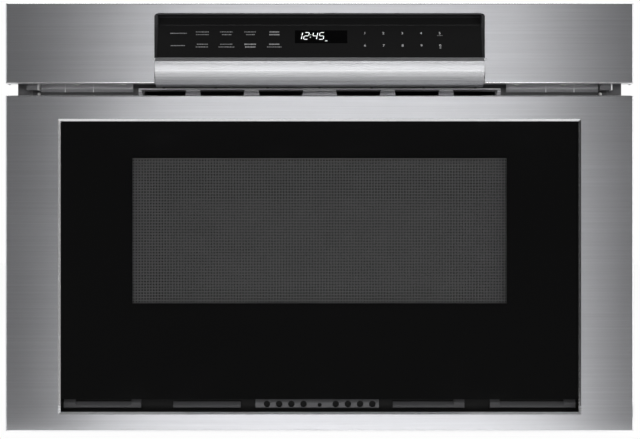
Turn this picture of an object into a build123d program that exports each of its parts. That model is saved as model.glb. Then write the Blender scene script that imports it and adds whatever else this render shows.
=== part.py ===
from build123d import *
from math import acos, atan2, cos, degrees, hypot, pi, radians, sin, tan
import os

# Built-in drawer microwave oven for a 30 inch kitchen cabinet.
#
# Millimetres, +Z up, the front facing -Y. The origin is under the middle of the overall box, on the
# shelf that the oven stands on. Every sub-part is drawn with y = 0 on the cabinet's face, the plane
# that the mounting flanges rest on, and is moved to the final frame when it is written.
# The drawer is closed. Left and right are the viewer's, standing in front of the oven.

# ---------------------------------------------------------------- driving dimensions
# Front, as seen from the kitchen
FRONT_WIDTH = 759.0          # drawer front and control fascia
FASCIA_HEIGHT = 97.0         # upper panel that holds the controls
VENT_GAP = 14.5              # open gap between the upper panel and the drawer front
DOOR_HEIGHT = 406.0          # drawer front
SHELF_GAP = 4.0              # drawer front's lower edge above the shelf
FRONT_PLANE = 38.0           # the front's face ahead of the cabinet's face
LIP_REACH = 30.0             # control lip ahead of the front's face
TRIM = 1.2                   # stainless sheet of the front
FOLD_R = 1.6                 # its folded outer edges

# Drawer front
STILE = 63.3                 # stainless beside the opening
TOP_RAIL = 28.3              # above it
BOTTOM_RAIL = 20.4           # below it
BEVEL = 2.75                 # sloped inner edge of the stainless
COLLAR = 1.0                 # straight part behind the slope
AIR_SLOT = 18.0              # from the opening's lower edge up to the glass
GLASS = 4.0
GLASS_LAP = 7.5              # glass hidden behind the opening's edge
DOOR_BACK = 4.8              # drawer front's back panel ahead of the cabinet's face
WINDOW_MARGIN = 8.5          # choke channel's inner wall outside the clear window
CHOKE_DEPTH = 24.0
CHOKE_WIDTH = 26.0
CHOKE_MARGIN = 4.0           # choke channel outside the cavity's mouth
CHOKE_FIN = 18.0
CHOKE_FIN_GAP = 4.0
INNER_GLASS = 3.0
SCREEN = 0.6

# Case that stands in the cabinet
CASE_DEPTH = 594.0           # behind the cabinet's face
FRONT_OVERHANG = 24.0        # front wider than the case, on each side
CASE_DROP = 26.5             # lid below the upper panel's top edge
SHEET = 1.2                  # case, frame and bracket steel
FLANGE_INSET = 9.5           # mounting flange's edge inside the front's edge
FLANGE_DROP = 13.5           # and below the upper panel's top edge
FLANGE_LOW = 6.0
FLANGE_HOLE_R = 2.75
FLANGE_HOLE_INSET = 7.0      # from the flange's outer edge
FLANGE_HOLE_LOW = 40.0
FLANGE_HOLE_DROP = 38.0      # from the flange's top edge
CASE_FOLD = 12.0             # inward folds that join the case's sheets

# Oven cavity and the drawer box that slides in it
CAVITY_FLOOR = 152.0
ROOF_SPACE = 153.8           # between the cavity's ceiling and the lid
REAR_SPACE = 164.0           # between the cavity's rear wall and the back
SWITCH_SPACE = 85.5          # between the cavity's side wall and the rack
CAVITY_WALL = 1.0
CAVITY_FLANGE = 29.0         # sealing flange around the cavity's mouth
SEAL_LAP = 12.0              # front frame's lap over that flange
BOX_CLEARANCE = 3.5          # between the drawer box and each side wall
BOX_WALL = 1.0
BOX_FLOOR_GAP = 3.0
BOX_REAR_GAP = 6.0
BOX_HEADROOM = 50.0          # rim below the cavity's ceiling
BOX_CORNER_R = 18.0
BOX_FOOT_R = 6.0
CERAMIC = 5.0                # plate on the floor of the box
CERAMIC_MARGIN = 6.0

# Drawer travel, slides and rack drive
TRAVEL_RESERVE = 50.0        # travel is less than the cavity's depth by this
RAIL_HEIGHT = 52.0
RAIL_DEPTH = 13.5            # from the fixed member's back to the arm
RAIL_SHEET = 1.5
RAIL_GAP = 0.45              # between the members of a slide
RAIL_SEAT = 0.6              # fixed member's lips clear of the arm
RAIL_Z = 185.0
RAIL_START = 5.0
RAIL_MOUNT = 11.1            # hat brackets between the slides and the case
ARM_PLATE = 3.0
ARM_LOW = 122.0
ARM_FOOT = 25.0
RACK_MODULE = 2.0
RACK_WIDTH = 8.0
RACK_BODY = 13.0             # rack above its tooth roots
RACK_DROP = 6.0              # rack's tooth tips below the arm's lower edge
RACK_OVERRUN = 28.0          # rack past the pinion at both ends of the travel
PINION_TEETH = 18
PINION_WIDTH = 7.0
DRIVE_MODULE = 1.5
DRIVE_GEAR_TEETH = 40
DRIVE_GEAR_WIDTH = 8.0
DRIVE_X = 200.0              # drive gear's left face
MOTOR_PINION_TEETH = 18
MOTOR_DIRECTION = -30.0      # from the cross shaft to the motor's shaft, degrees above +Y
PRESSURE_ANGLE = 20.0
BACKLASH = 0.16              # taken off each tooth's thickness
GEAR_CLEARANCE = 2.5         # drive gear's tips behind the cabinet's face
SHAFT_R = 4.0
RUNNING_FIT = 0.06           # radial clearance of a turning shaft in its bearing

# Controls
NOTCH_HALF = 199.75          # opening in the upper panel, open at the bottom
NOTCH_MARGIN = 12.4          # upper panel above that opening
PANEL_HALF = 197.1           # control housing and lip
TOUCH_GLASS_HALF = 194.7
TOUCH_GLASS = 3.0
HOUSING_WALL = 2.5

# ---------------------------------------------------------------- worked out from those
DOOR_LOW = SHELF_GAP
DOOR_HIGH = DOOR_LOW + DOOR_HEIGHT
FASCIA_LOW = DOOR_HIGH + VENT_GAP
FASCIA_HIGH = FASCIA_LOW + FASCIA_HEIGHT
FRONT_HALF = FRONT_WIDTH / 2
DOOR_FRONT = -FRONT_PLANE
DOOR_REAR = -DOOR_BACK
TRIM_BACK = DOOR_REAR - SHEET
FACE_Y = (FRONT_PLANE + LIP_REACH - CASE_DEPTH) / 2    # cabinet's face in the final frame

CASE_HALF = FRONT_HALF - FRONT_OVERHANG
CASE_HEIGHT = FASCIA_HIGH - CASE_DROP
LID_LOW = CASE_HEIGHT - SHEET
SIDE_OUT = CASE_HALF - SHEET           # the top cover's turned-down edges lie outside the sides
SIDE_IN = SIDE_OUT - SHEET
BACK_IN = CASE_DEPTH - SHEET
FLANGE_HALF = FRONT_HALF - FLANGE_INSET
FLANGE_HIGH = FASCIA_HIGH - FLANGE_DROP

RAIL_BACK_X = SIDE_IN - RAIL_MOUNT
ARM_OUT = RAIL_BACK_X - RAIL_DEPTH
ARM_IN = ARM_OUT - ARM_PLATE
RACK_X = (ARM_IN - RACK_WIDTH, ARM_IN)
CAVITY_HALF = RACK_X[0] - SWITCH_SPACE
CAVITY_CEILING = LID_LOW - ROOF_SPACE
CAVITY_DEPTH = CASE_DEPTH - REAR_SPACE
CAVITY_ROOF = CAVITY_CEILING + CAVITY_WALL
MIDDLE_Y = CAVITY_DEPTH / 2            # stirrer's axis
BOX_HALF = CAVITY_HALF - BOX_CLEARANCE
BOX_LOW = CAVITY_FLOOR + BOX_FLOOR_GAP
BOX_HIGH = CAVITY_CEILING - BOX_HEADROOM
BOX_BACK = CAVITY_DEPTH - BOX_REAR_GAP
TRAVEL = CAVITY_DEPTH - TRAVEL_RESERVE

OPENING_HALF = FRONT_HALF - STILE
OPENING_LOW = DOOR_LOW + BOTTOM_RAIL
OPENING_HIGH = DOOR_HIGH - TOP_RAIL
THROAT_HALF = OPENING_HALF - BEVEL     # inside the slope
THROAT_LOW = OPENING_LOW + BEVEL
THROAT_HIGH = OPENING_HIGH - BEVEL
GLASS_FRONT = DOOR_FRONT + BEVEL + COLLAR
GLASS_BACK = GLASS_FRONT + GLASS
GLASS_HALF = THROAT_HALF + GLASS_LAP
GLASS_LOW = OPENING_LOW + AIR_SLOT
GLASS_HIGH = THROAT_HIGH + GLASS_LAP
CHOKE_HALF = CAVITY_HALF + CHOKE_MARGIN
CHOKE_LOW = CAVITY_FLOOR - CHOKE_MARGIN
CHOKE_HIGH = CAVITY_CEILING + CHOKE_MARGIN
CHOKE_FRONT = DOOR_REAR - CHOKE_DEPTH
CHOKE_BACK = DOOR_REAR + SHEET

RAIL_END = CAVITY_DEPTH - RAIL_START
RAIL_STEP = RAIL_SHEET + RAIL_GAP      # from one member's face to the next member's
ARM_HIGH = RAIL_Z + RAIL_HEIGHT / 2
PINION_R = RACK_MODULE * PINION_TEETH / 2
GEAR_R = DRIVE_MODULE * DRIVE_GEAR_TEETH / 2
MOTOR_PINION_R = DRIVE_MODULE * MOTOR_PINION_TEETH / 2
RACK_TIP_Z = ARM_LOW - RACK_DROP
RACK_PITCH_Z = RACK_TIP_Z + RACK_MODULE
SHAFT_Y = GEAR_R + DRIVE_MODULE + GEAR_CLEARANCE
SHAFT_Z = RACK_PITCH_Z - PINION_R
RACK_Y = (SHAFT_Y - RACK_OVERRUN, SHAFT_Y + TRAVEL + RACK_OVERRUN)
MOTOR_Y = SHAFT_Y + (GEAR_R + MOTOR_PINION_R) * cos(radians(MOTOR_DIRECTION))
MOTOR_Z = SHAFT_Z + (GEAR_R + MOTOR_PINION_R) * sin(radians(MOTOR_DIRECTION))

# Side view of the controls, as (y, z)
NOTCH_TOP = FASCIA_HIGH - NOTCH_MARGIN
PANEL_TOP = (DOOR_FRONT + 10.0, FASCIA_HIGH - 17.0)              # touch glass, upper edge
PANEL_FRONT = (DOOR_FRONT - LIP_REACH + 2.0, FASCIA_LOW + 29.0)  # touch glass, lower edge
LIP_NOSE = (DOOR_FRONT - LIP_REACH, FASCIA_LOW + 24.5)           # where the lip's curve starts
LIP_END = (DOOR_FRONT, FASCIA_LOW - 4.7)                         # where it ends, under the panel
PANEL_RUN = PANEL_TOP[0] - PANEL_FRONT[0]
PANEL_RISE = PANEL_TOP[1] - PANEL_FRONT[1]
PANEL_LENGTH = hypot(PANEL_RUN, PANEL_RISE)
PANEL_MIDDLE = (PANEL_FRONT[0] + PANEL_RUN / 2, PANEL_FRONT[1] + PANEL_RISE / 2)
PANEL_TILT = degrees(atan2(PANEL_RUN, PANEL_RISE))


# ---------------------------------------------------------------- drawing helpers
def span(middle, half):
    return (middle - half, middle + half)


def block(x, y, z):
    """A box between two limits on each axis."""
    size = [high - low for low, high in (x, y, z)]
    middle = [(low + high) / 2 for low, high in (x, y, z)]
    return Pos(*middle) * Box(*size)


def both_sides(shape):
    """The shape and its mirror image on the other side of the oven."""
    return [shape, mirror(shape, about=Plane.YZ)]


def polygon(*points):
    return make_face(Polyline(*points, close=True))


def along_x(outline, low, high):
    """A face drawn in (y, z), pushed from x = low to x = high."""
    return extrude(Plane.YZ.offset(low) * outline, high - low)


def along_y(outline, low, high):
    """A face drawn in (x, z), pushed from y = low to y = high."""
    return extrude(Plane.XZ.offset(-high) * outline, high - low)


def rod_x(radius, x, y, z):
    return Pos(sum(x) / 2, y, z) * Rot(0, 90, 0) * Cylinder(radius, x[1] - x[0])


def rod_y(radius, x, y, z):
    return Pos(x, sum(y) / 2, z) * Rot(90, 0, 0) * Cylinder(radius, y[1] - y[0])


def rod_z(radius, x, y, z):
    return Pos(x, y, sum(z) / 2) * Cylinder(radius, z[1] - z[0])


def grown(frame, by):
    """A frame's limits (half width, low, high), moved outward."""
    half, low, high = frame
    return (half + by, low - by, high + by)


def ring_plate(outer, inner, y):
    """A flat ring facing the viewer, between two frames' limits."""
    whole = block((-outer[0], outer[0]), y, outer[1:])
    return whole - block((-inner[0], inner[0]), (y[0] - 1, y[1] + 1), inner[1:])


def group(*shapes):
    """Separate solids that share one node."""
    solids = []
    for shape in shapes:
        parts = shape if isinstance(shape, list) else [shape]
        for part in parts:
            solids += part.solids()
    return Compound(solids)


def pan_head(radius, height, at, out):
    """A low screw head, standing on a face; out is the way off it."""
    head = chamfer(Cylinder(radius, height).edges().group_by(Axis.Z)[-1], height * 0.45)
    return Plane(origin=at, z_dir=out) * Pos(0, 0, height / 2) * head


# ---------------------------------------------------------------- case
BASE_FLANGE = 15.0
RIB_X = (120.0, SIDE_IN - 53.0)
RIB_Y = (110.0, CAVITY_DEPTH - 60.0)
RIB_HALF = 8.0
RIB_HEIGHT = 3.0


def base_plate():
    """Floor of the case: a tray with upturned edges and pressed stiffening ribs."""
    inner = SIDE_IN - SHEET
    tray = block((-SIDE_IN, SIDE_IN), (0, BACK_IN), (0, BASE_FLANGE))
    tray -= block((-inner, inner), (SHEET, CASE_DEPTH), (SHEET, BASE_FLANGE + 1))
    for x in RIB_X:
        rib = block(span(x, RIB_HALF), RIB_Y, (SHEET, SHEET + RIB_HEIGHT))
        rib = chamfer(rib.edges().group_by(Axis.Z)[-1], RIB_HEIGHT * 0.8)
        hollow_y = (RIB_Y[0] + RIB_HEIGHT, RIB_Y[1] - RIB_HEIGHT)
        hollow = block(span(x, RIB_HALF - RIB_HEIGHT), hollow_y, (-1, RIB_HEIGHT))
        tray = tray + both_sides(rib) - both_sides(hollow)
    return tray


BEAD_HALF = 10.0
BEAD_DEPTH = 2.0
BEAD_Z = (90.0, LID_LOW - 194.0, LID_LOW - 64.0)
BEAD_END = 60.0


def side_panel():
    """Right-hand side of the case, with the flange that is screwed to the cabinet's face."""
    panel = block((SIDE_IN, SIDE_OUT), (0, BACK_IN), (0.5, LID_LOW))
    panel += block((SIDE_IN, FLANGE_HALF), (-SHEET, 0), (FLANGE_LOW, FLANGE_HIGH))
    fold_x = (SIDE_IN - CASE_FOLD, SIDE_OUT)
    panel += block(fold_x, (2 * SHEET, BACK_IN), (LID_LOW - SHEET, LID_LOW))
    panel += block(fold_x, (BACK_IN - SHEET, BACK_IN), (BASE_FLANGE, LID_LOW))
    for z in BEAD_Z:
        bead = block((SIDE_IN - BEAD_DEPTH, SIDE_IN), (BEAD_END, BACK_IN - BEAD_END), span(z, BEAD_HALF))
        bead = chamfer(bead.edges().group_by(Axis.X)[0], BEAD_DEPTH * 0.8)
        groove_y = (BEAD_END + BEAD_DEPTH, BACK_IN - BEAD_END - BEAD_DEPTH)
        groove_x = (SIDE_IN - BEAD_DEPTH + SHEET, SIDE_OUT + 1)
        panel = panel + bead - block(groove_x, groove_y, span(z, BEAD_HALF - BEAD_DEPTH))
    for z in (FLANGE_HOLE_LOW, FLANGE_HIGH - FLANGE_HOLE_DROP):
        panel -= rod_y(FLANGE_HOLE_R, FLANGE_HALF - FLANGE_HOLE_INSET, (-2 * SHEET, SHEET), z)
    return panel


LID_EDGE = 17.0
DISH_MARGIN = 54.0
DISH_DEPTH = 3.0


def top_cover():
    """Lid of the case: a sheet with a stiffening panel pressed in and two turned-down edges."""
    start = 3.0
    lid = block((-CASE_HALF, CASE_HALF), (start, CASE_DEPTH), (CASE_HEIGHT - LID_EDGE, CASE_HEIGHT))
    lid -= block((-SIDE_OUT, SIDE_OUT), (0, CASE_DEPTH + 1), (0, LID_LOW))
    half = SIDE_IN - DISH_MARGIN
    y = (start + DISH_MARGIN, CASE_DEPTH - DISH_MARGIN)
    dish = block((-half, half), y, (LID_LOW - DISH_DEPTH, LID_LOW))
    dish = chamfer(dish.edges().group_by(Axis.Z)[0], DISH_DEPTH * 0.8)
    room_half = half - DISH_DEPTH
    room = block(
        (-room_half, room_half),
        (y[0] + DISH_DEPTH, y[1] - DISH_DEPTH),
        (LID_LOW - DISH_DEPTH + SHEET, CASE_HEIGHT + 1),
    )
    return lid + dish - room


GLAND_X = SIDE_IN - 53.0
GLAND_Z = 60.0
GLAND_R = 9.0
GLAND_BORE_R = 4.5
GLAND_FIT = 0.15
BACK_SLOT = (36.0, 4.0)      # air slots behind the fan
BACK_SLOT_PITCH = (50.0, 12.0)


def back_panel():
    """Rear of the case, with air slots behind the fan and the hole for the supply cord's bush."""
    panel = block((-SIDE_OUT, SIDE_OUT), (BACK_IN, CASE_DEPTH), (0.5, LID_LOW))
    slot = along_y(Rectangle(*BACK_SLOT), BACK_IN - 1, CASE_DEPTH + 1)
    for column in range(3):
        for row in range(8):
            x = FAN_X - 133 + BACK_SLOT_PITCH[0] * column
            panel -= Pos(x, 0, FAN_Z + BACK_SLOT_PITCH[1] * (row - 3.5)) * slot
    return panel - rod_y(GLAND_R, GLAND_X, (BACK_IN - 1, CASE_DEPTH + 1), GLAND_Z)


def cord_gland():
    """Snap-in bush that the supply cord leaves through."""
    bush = rod_y(GLAND_R - GLAND_FIT, GLAND_X, (CASE_DEPTH - 8, CASE_DEPTH), GLAND_Z)
    bush += rod_y(GLAND_R + 3, GLAND_X, (BACK_IN - 2.5, BACK_IN), GLAND_Z)
    return bush - rod_y(GLAND_BORE_R, GLAND_X, (CASE_DEPTH - 9, CASE_DEPTH + 1), GLAND_Z)


ARM_SLOT_GAP = 3.5           # front frame's slots round the arms, racks and slides
HOOK_X = CAVITY_HALF + 56.0
HOOK_Z = CAVITY_CEILING - 27.0
VENT_HALF = 215.0
VENT_Z = (FASCIA_LOW - 25.5, FASCIA_LOW - 7.5)
INTAKE_Z = (16.0, 34.0)
INTAKE_HALF = 55.0
INTAKE_X = (75.0, 225.0)


def front_frame():
    """Front of the case between the flanges: mouth of the cavity, slots for the drawer's arms
    and hooks, and the air openings above and below."""
    cut = (-SHEET - 1, 1)
    plate = block((-SIDE_IN, SIDE_IN), (-SHEET, 0), (FLANGE_LOW, FLANGE_HIGH))
    mouth = (CAVITY_HALF, CAVITY_FLOOR, CAVITY_CEILING)
    half, low, high = grown(mouth, CAVITY_WALL + CAVITY_FLANGE - SEAL_LAP)
    plate -= block((-half, half), cut, (low, high))
    plate -= block((-VENT_HALF, VENT_HALF), cut, VENT_Z)
    slot_x = (ARM_IN - ARM_FOOT - ARM_SLOT_GAP, RAIL_BACK_X + ARM_SLOT_GAP)
    slot_z = (RACK_TIP_Z - ARM_SLOT_GAP, ARM_HIGH + ARM_SLOT_GAP)
    plate -= both_sides(block(slot_x, cut, slot_z))
    plate -= both_sides(block(span(HOOK_X, 6), cut, (HOOK_Z - 16, HOOK_Z + 13)))
    for x in INTAKE_X:
        plate -= both_sides(block(span(x, INTAKE_HALF), cut, INTAKE_Z))
    return plate


# ---------------------------------------------------------------- cavity and microwave feed
WELL_R = 95.0
WELL_HEIGHT = 25.0
FEED_HOLE_R = 22.0
LAMP_Y = MIDDLE_Y + 65.0
LAMP_Z = CAVITY_CEILING - 35.0
GUIDE_HALF = 45.0
GUIDE_HEIGHT = 36.0
GUIDE_LOW = CAVITY_ROOF + WELL_HEIGHT
GUIDE_HIGH = GUIDE_LOW + GUIDE_HEIGHT
TUBE_Y = CAVITY_DEPTH + 70.0     # magnetron's axis, behind the cavity
TUBE_HOLE_R = 16.0


def oven_cavity():
    """Welded cooking chamber, open to the front, with the stirrer's well in its ceiling, slots
    for the lamp's light on the left and for the moist air on the right."""
    w = CAVITY_WALL
    mouth = (CAVITY_HALF, CAVITY_FLOOR, CAVITY_CEILING)
    outer = grown(mouth, w)
    flange = grown(outer, CAVITY_FLANGE)
    shell = block((-outer[0], outer[0]), (0, CAVITY_DEPTH + w), outer[1:])
    shell += block((-flange[0], flange[0]), (0, w), flange[1:])
    shell += rod_z(WELL_R, 0, MIDDLE_Y, (CAVITY_CEILING, GUIDE_LOW))
    shell -= block((-mouth[0], mouth[0]), (-1, CAVITY_DEPTH), mouth[1:])
    shell -= rod_z(WELL_R - w, 0, MIDDLE_Y, (CAVITY_CEILING - 1, GUIDE_LOW - w))
    shell -= rod_z(FEED_HOLE_R, 0, MIDDLE_Y, (CAVITY_CEILING, GUIDE_LOW + 1))
    for row in range(5):
        z = LAMP_Z + 5 * (row - 2)
        shell -= block(span(-CAVITY_HALF, w + 1), span(LAMP_Y, 12), span(z, 1))
    for row in range(6):
        z = CAVITY_CEILING - 50 + 6 * row
        shell -= block(span(CAVITY_HALF, w + 1), span(CAVITY_DEPTH - 45, 15), span(z, 1))
    return shell


SUPPORT_HALF = 200.0
SUPPORT_Y = CAVITY_DEPTH - 30.0
SUPPORT_FOLD = 14.0


def cavity_support():
    """Bent sheet under the rear of the cavity, standing on the base, with lightening holes."""
    z = (SHEET, CAVITY_FLOOR - CAVITY_WALL)
    x = (-SUPPORT_HALF, SUPPORT_HALF)
    web = block(x, (SUPPORT_Y, SUPPORT_Y + SHEET), z)
    for middle in (-130, 0, 130):
        hole = block(span(middle, 48), span(SUPPORT_Y, 5), (z[0] + 25, z[1] - 25))
        web -= fillet(hole.edges().filter_by(Axis.Y), 14)
    web += block(x, (SUPPORT_Y - SUPPORT_FOLD, SUPPORT_Y + SHEET), (z[1] - SHEET, z[1]))
    return web + block(x, (SUPPORT_Y - SUPPORT_FOLD, SUPPORT_Y + SHEET), (z[0], z[0] + SHEET))


COVER_LAP = 10.0
COVER = 1.5


def stirrer_cover():
    """Mica plate that closes the stirrer's well from below."""
    half = WELL_R + COVER_LAP
    plate = block((-half, half), span(MIDDLE_Y, half), (CAVITY_CEILING - COVER, CAVITY_CEILING))
    return fillet(plate.edges().filter_by(Axis.Z), 12)


def waveguide():
    """Rectangular duct from the magnetron to the stirrer's well."""
    w = CAVITY_WALL
    y = (MIDDLE_Y - 55, TUBE_Y + 53)
    duct = block((-GUIDE_HALF, GUIDE_HALF), y, (GUIDE_LOW, GUIDE_HIGH))
    duct -= block(span(0, GUIDE_HALF - w), (y[0] + w, y[1] - w), (GUIDE_LOW + w, GUIDE_HIGH - w))
    duct -= rod_z(FEED_HOLE_R, 0, MIDDLE_Y, (GUIDE_LOW - 1, GUIDE_LOW + 5))
    duct -= rod_z(2 * STIRRER_SHAFT_R, 0, MIDDLE_Y, (GUIDE_HIGH - 5, GUIDE_HIGH + 1))
    return duct - rod_z(TUBE_HOLE_R, 0, TUBE_Y, (GUIDE_LOW - 1, GUIDE_LOW + 5))


STIRRER_Z = CAVITY_CEILING + 12.0
STIRRER_SHAFT_R = 2.5
STIRRER_GRIP = 8.0           # spindle inside the motor


def stirrer():
    """Four-bladed antenna that spreads the microwaves, on its drive spindle."""
    rotor = rod_z(9, 0, MIDDLE_Y, (STIRRER_Z - 2, STIRRER_Z + 5))
    rotor += rod_z(STIRRER_SHAFT_R, 0, MIDDLE_Y, (STIRRER_Z, GUIDE_HIGH + STIRRER_GRIP))
    blade = extrude(polygon((6, -9), (60, -26), (80, -20), (80, 12), (56, 16), (6, 9)), 1.2)
    for quarter in range(4):
        rotor += Pos(0, MIDDLE_Y, STIRRER_Z) * Rot(0, 0, 90 * quarter) * blade
    return rotor


def stirrer_motor():
    """Small synchronous motor on the waveguide's roof, with its two fixing ears."""
    can = rod_z(25, 0, MIDDLE_Y, (GUIDE_HIGH, GUIDE_HIGH + 20))
    can = chamfer(can.edges().group_by(Axis.Z)[-1], 1.5)
    can += block((-33, 33), span(MIDDLE_Y, 6), (GUIDE_HIGH, GUIDE_HIGH + 1.5))
    socket_z = (GUIDE_HIGH - 1, GUIDE_HIGH + STIRRER_GRIP + 4)
    return can - rod_z(STIRRER_SHAFT_R + RUNNING_FIT, 0, MIDDLE_Y, socket_z)


YOKE = 1.6
YOKE_HALF_X = 42.0
YOKE_Y = span(TUBE_Y, 40.0)
YOKE_LOW = CAVITY_CEILING - 74.0
YOKE_EAR = 5.0
FILTER_HEIGHT = 40.0
ANODE_R = 20.0
FIN_COUNT = 5
FIN_PITCH = 14.0
FIN = 0.8


def magnetron_yoke():
    """Steel frame of the magnetron, open to the cooling air on two sides, with its filter box."""
    frame = block(span(0, YOKE_HALF_X), YOKE_Y, (YOKE_LOW, GUIDE_LOW))
    inside_y = (YOKE_Y[0] + YOKE, YOKE_Y[1] - YOKE)
    frame -= block(span(0, YOKE_HALF_X + 1), inside_y, (YOKE_LOW + YOKE, GUIDE_LOW - YOKE))
    ears_y = (YOKE_Y[0] - YOKE_EAR, YOKE_Y[1] + YOKE_EAR)
    frame += block(span(0, YOKE_HALF_X + YOKE_EAR), ears_y, (GUIDE_LOW - YOKE, GUIDE_LOW))
    frame += block(span(0, YOKE_HALF_X - 10), span(TUBE_Y, 35), (YOKE_LOW - FILTER_HEIGHT, YOKE_LOW))
    return frame - rod_z(TUBE_HOLE_R, 0, TUBE_Y, (GUIDE_LOW - 5, GUIDE_LOW + 1))


def magnetron_body():
    """Anode cylinder with its cooling fins and the antenna that stands in the waveguide."""
    top = GUIDE_LOW - YOKE
    body = rod_z(ANODE_R, 0, TUBE_Y, (YOKE_LOW + YOKE, top))
    antenna = rod_z(TUBE_HOLE_R - 1, 0, TUBE_Y, (top, GUIDE_LOW + 4))
    cap = rod_z(8, 0, TUBE_Y, (GUIDE_LOW, GUIDE_LOW + 27))
    antenna += chamfer(cap.edges().group_by(Axis.Z)[-1], 3)
    for n in range(FIN_COUNT):
        z = YOKE_LOW + 16 + FIN_PITCH * n
        body += block(span(0, YOKE_HALF_X - 4), (YOKE_Y[0] + YOKE, YOKE_Y[1] - YOKE), (z, z + FIN))
    return body + antenna


# ---------------------------------------------------------------- power supply
CORE_AT = (SIDE_IN - 138.0, TUBE_Y)
CORE_HALF = (55.0, 32.0)
CORE_HEIGHT = 90.0
CORE_LEG_HALF = 16.0
CORE_WINDOW = 22.0
CORE_YOKE = 18.0             # iron above and below the windings
COIL_FIT = 0.3
COIL_GAP = 3.0


def transformer_core():
    """Laminated core of the high-voltage transformer, on its mounting feet."""
    x, y = CORE_AT
    feet = SHEET + 2
    core = block(span(x, CORE_HALF[0]), span(y, CORE_HALF[1]), (feet, feet + CORE_HEIGHT))
    for side in (-1, 1):
        window_x = span(x + side * (CORE_LEG_HALF + CORE_WINDOW / 2), CORE_WINDOW / 2)
        window_z = (feet + CORE_YOKE, feet + CORE_HEIGHT - CORE_YOKE)
        core -= block(window_x, span(y, CORE_HALF[1] + 1), window_z)
    core += block(span(x, CORE_HALF[0] + 5), span(y, CORE_HALF[1] + 12), (SHEET, feet))
    for dx in (-50, 50):
        for dy in (-38, 38):
            core -= rod_z(3, x + dx, y + dy, (0, feet + 1))
    return core


def transformer_windings():
    """Primary and secondary coils around the middle leg of the core."""
    x, y = CORE_AT
    low = SHEET + 2 + CORE_YOKE + COIL_FIT
    high = SHEET + 2 + CORE_HEIGHT - CORE_YOKE - COIL_FIT
    middle = (low + high) / 2
    coils = []
    for z in ((low, middle - COIL_GAP / 2), (middle + COIL_GAP / 2, high)):
        half_x = CORE_LEG_HALF + CORE_WINDOW - COIL_FIT
        coil = block(span(x, half_x), span(y, CORE_HALF[1] + CORE_WINDOW), z)
        coil = fillet(coil.edges().filter_by(Axis.Z), CORE_WINDOW * 0.8)
        room_x = span(x, CORE_LEG_HALF + COIL_FIT)
        coils.append(coil - block(room_x, span(y, CORE_HALF[1] + COIL_FIT), (z[0] - 1, z[1] + 1)))
    return group(coils)


CAPACITOR_AT = (-CORE_AT[0], TUBE_Y + 5)
CAPACITOR = (90.0, 50.0)
CAPACITOR_HEIGHT = 70.0
STRAP = 1.8
STRAP_Z = (20.0, 32.0)
STRAP_FIT = 0.2
DIODE_R = 5.0


def hv_capacitor():
    """High-voltage capacitor, held by a strap with a foot, and the diode beside it."""
    x, y = CAPACITOR_AT
    length, width = CAPACITOR
    can = extrude(Pos(x, y, SHEET) * SlotOverall(length, width), CAPACITOR_HEIGHT)
    for side in (-1, 1):
        can += rod_z(3, x + side * 18, y, (SHEET + CAPACITOR_HEIGHT, SHEET + CAPACITOR_HEIGHT + 10))
    inside = 2 * STRAP_FIT
    outside = inside + 2 * STRAP
    loop = SlotOverall(length + outside, width + outside) - SlotOverall(length + inside, width + inside)
    strap = extrude(Pos(x, y, SHEET + STRAP_Z[0]) * loop, STRAP_Z[1] - STRAP_Z[0])
    end = x - length / 2 - STRAP_FIT - STRAP / 2
    strap += block((end - 14, end), span(y, 6), (SHEET + STRAP_Z[0], SHEET + STRAP_Z[1]))
    strap += block((end - 14, end - 14 + STRAP), span(y, 6), (SHEET, SHEET + STRAP_Z[1]))
    diode = rod_y(DIODE_R, x + length / 2 + 17, span(y, 20), SHEET + DIODE_R)
    return group(can, strap, diode)


BOARD = 1.6
STANDOFF = 8.0


def power_board():
    """Relay and power-supply board on stand-offs over the cavity."""
    x, y = (-225.0, -115.0), (70.0, 190.0)
    top = CAVITY_ROOF + STANDOFF + BOARD
    board = block(x, y, (top - BOARD, top))
    for px in (x[0] + 8, x[1] - 8):
        for py in (y[0] + 8, y[1] - 8):
            board += rod_z(4, px, py, (CAVITY_ROOF, top - BOARD))
    board += block((x[0] + 10, x[0] + 50), (y[0] + 15, y[0] + 50), (top, top + 32))
    for n in range(4):
        board += block(span(x[0] + 65 + 12 * n, 5), (y[0] + 15, y[0] + 35), (top, top + 17))
    board += rod_z(11, x[0] + 30, y[1] - 30, (top, top + 24))
    return board + block((x[0] + 55, x[0] + 95), (y[1] - 50, y[1] - 14), (top, top + 20))


LAMP_BOX = 34.0
LAMP_R = 9.0


def oven_lamp():
    """Lamp with its cap and bulb, in a sheet-metal box beside the cavity's light slots."""
    wall = -CAVITY_HALF - CAVITY_WALL
    middle = wall - LAMP_BOX / 2
    top = LAMP_Z + 24
    house = block((wall - LAMP_BOX, wall), span(LAMP_Y, 24), (LAMP_Z - 20, top))
    house -= block((wall - LAMP_BOX + 1, wall + 1), span(LAMP_Y, 23), (LAMP_Z - 19, top - 1))
    house -= rod_z(LAMP_R + 0.2, middle, LAMP_Y, (top - 5, top + 5))
    lamp = rod_z(LAMP_R, middle, LAMP_Y, (LAMP_Z + 8, top + 8))
    lamp += rod_z(LAMP_R + 3, middle, LAMP_Y, (top + 0.2, top + 3))
    bulb = chamfer(rod_z(LAMP_R - 1, middle, LAMP_Y, (LAMP_Z - 12, LAMP_Z + 9)).edges(), 3)
    return group(house, lamp + bulb)


def thermal_cutouts():
    """Two temperature switches: on the cavity's roof and on the magnetron's frame."""
    switch = Pos(0, 0, 4) * Cylinder(8, 8) + Pos(0, 0, 0.5) * Box(28, 10, 1)
    for x in (-5, 5):
        switch += Pos(x, 0, 11) * Box(1, 4, 6)
    on_roof = Plane(origin=(150, 120, CAVITY_ROOF), z_dir=(0, 0, 1)) * switch
    on_yoke = Plane(origin=(0, YOKE_Y[0], YOKE_LOW + 40), x_dir=(1, 0, 0), z_dir=(0, -1, 0)) * switch
    return group(on_roof, on_yoke)


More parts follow.
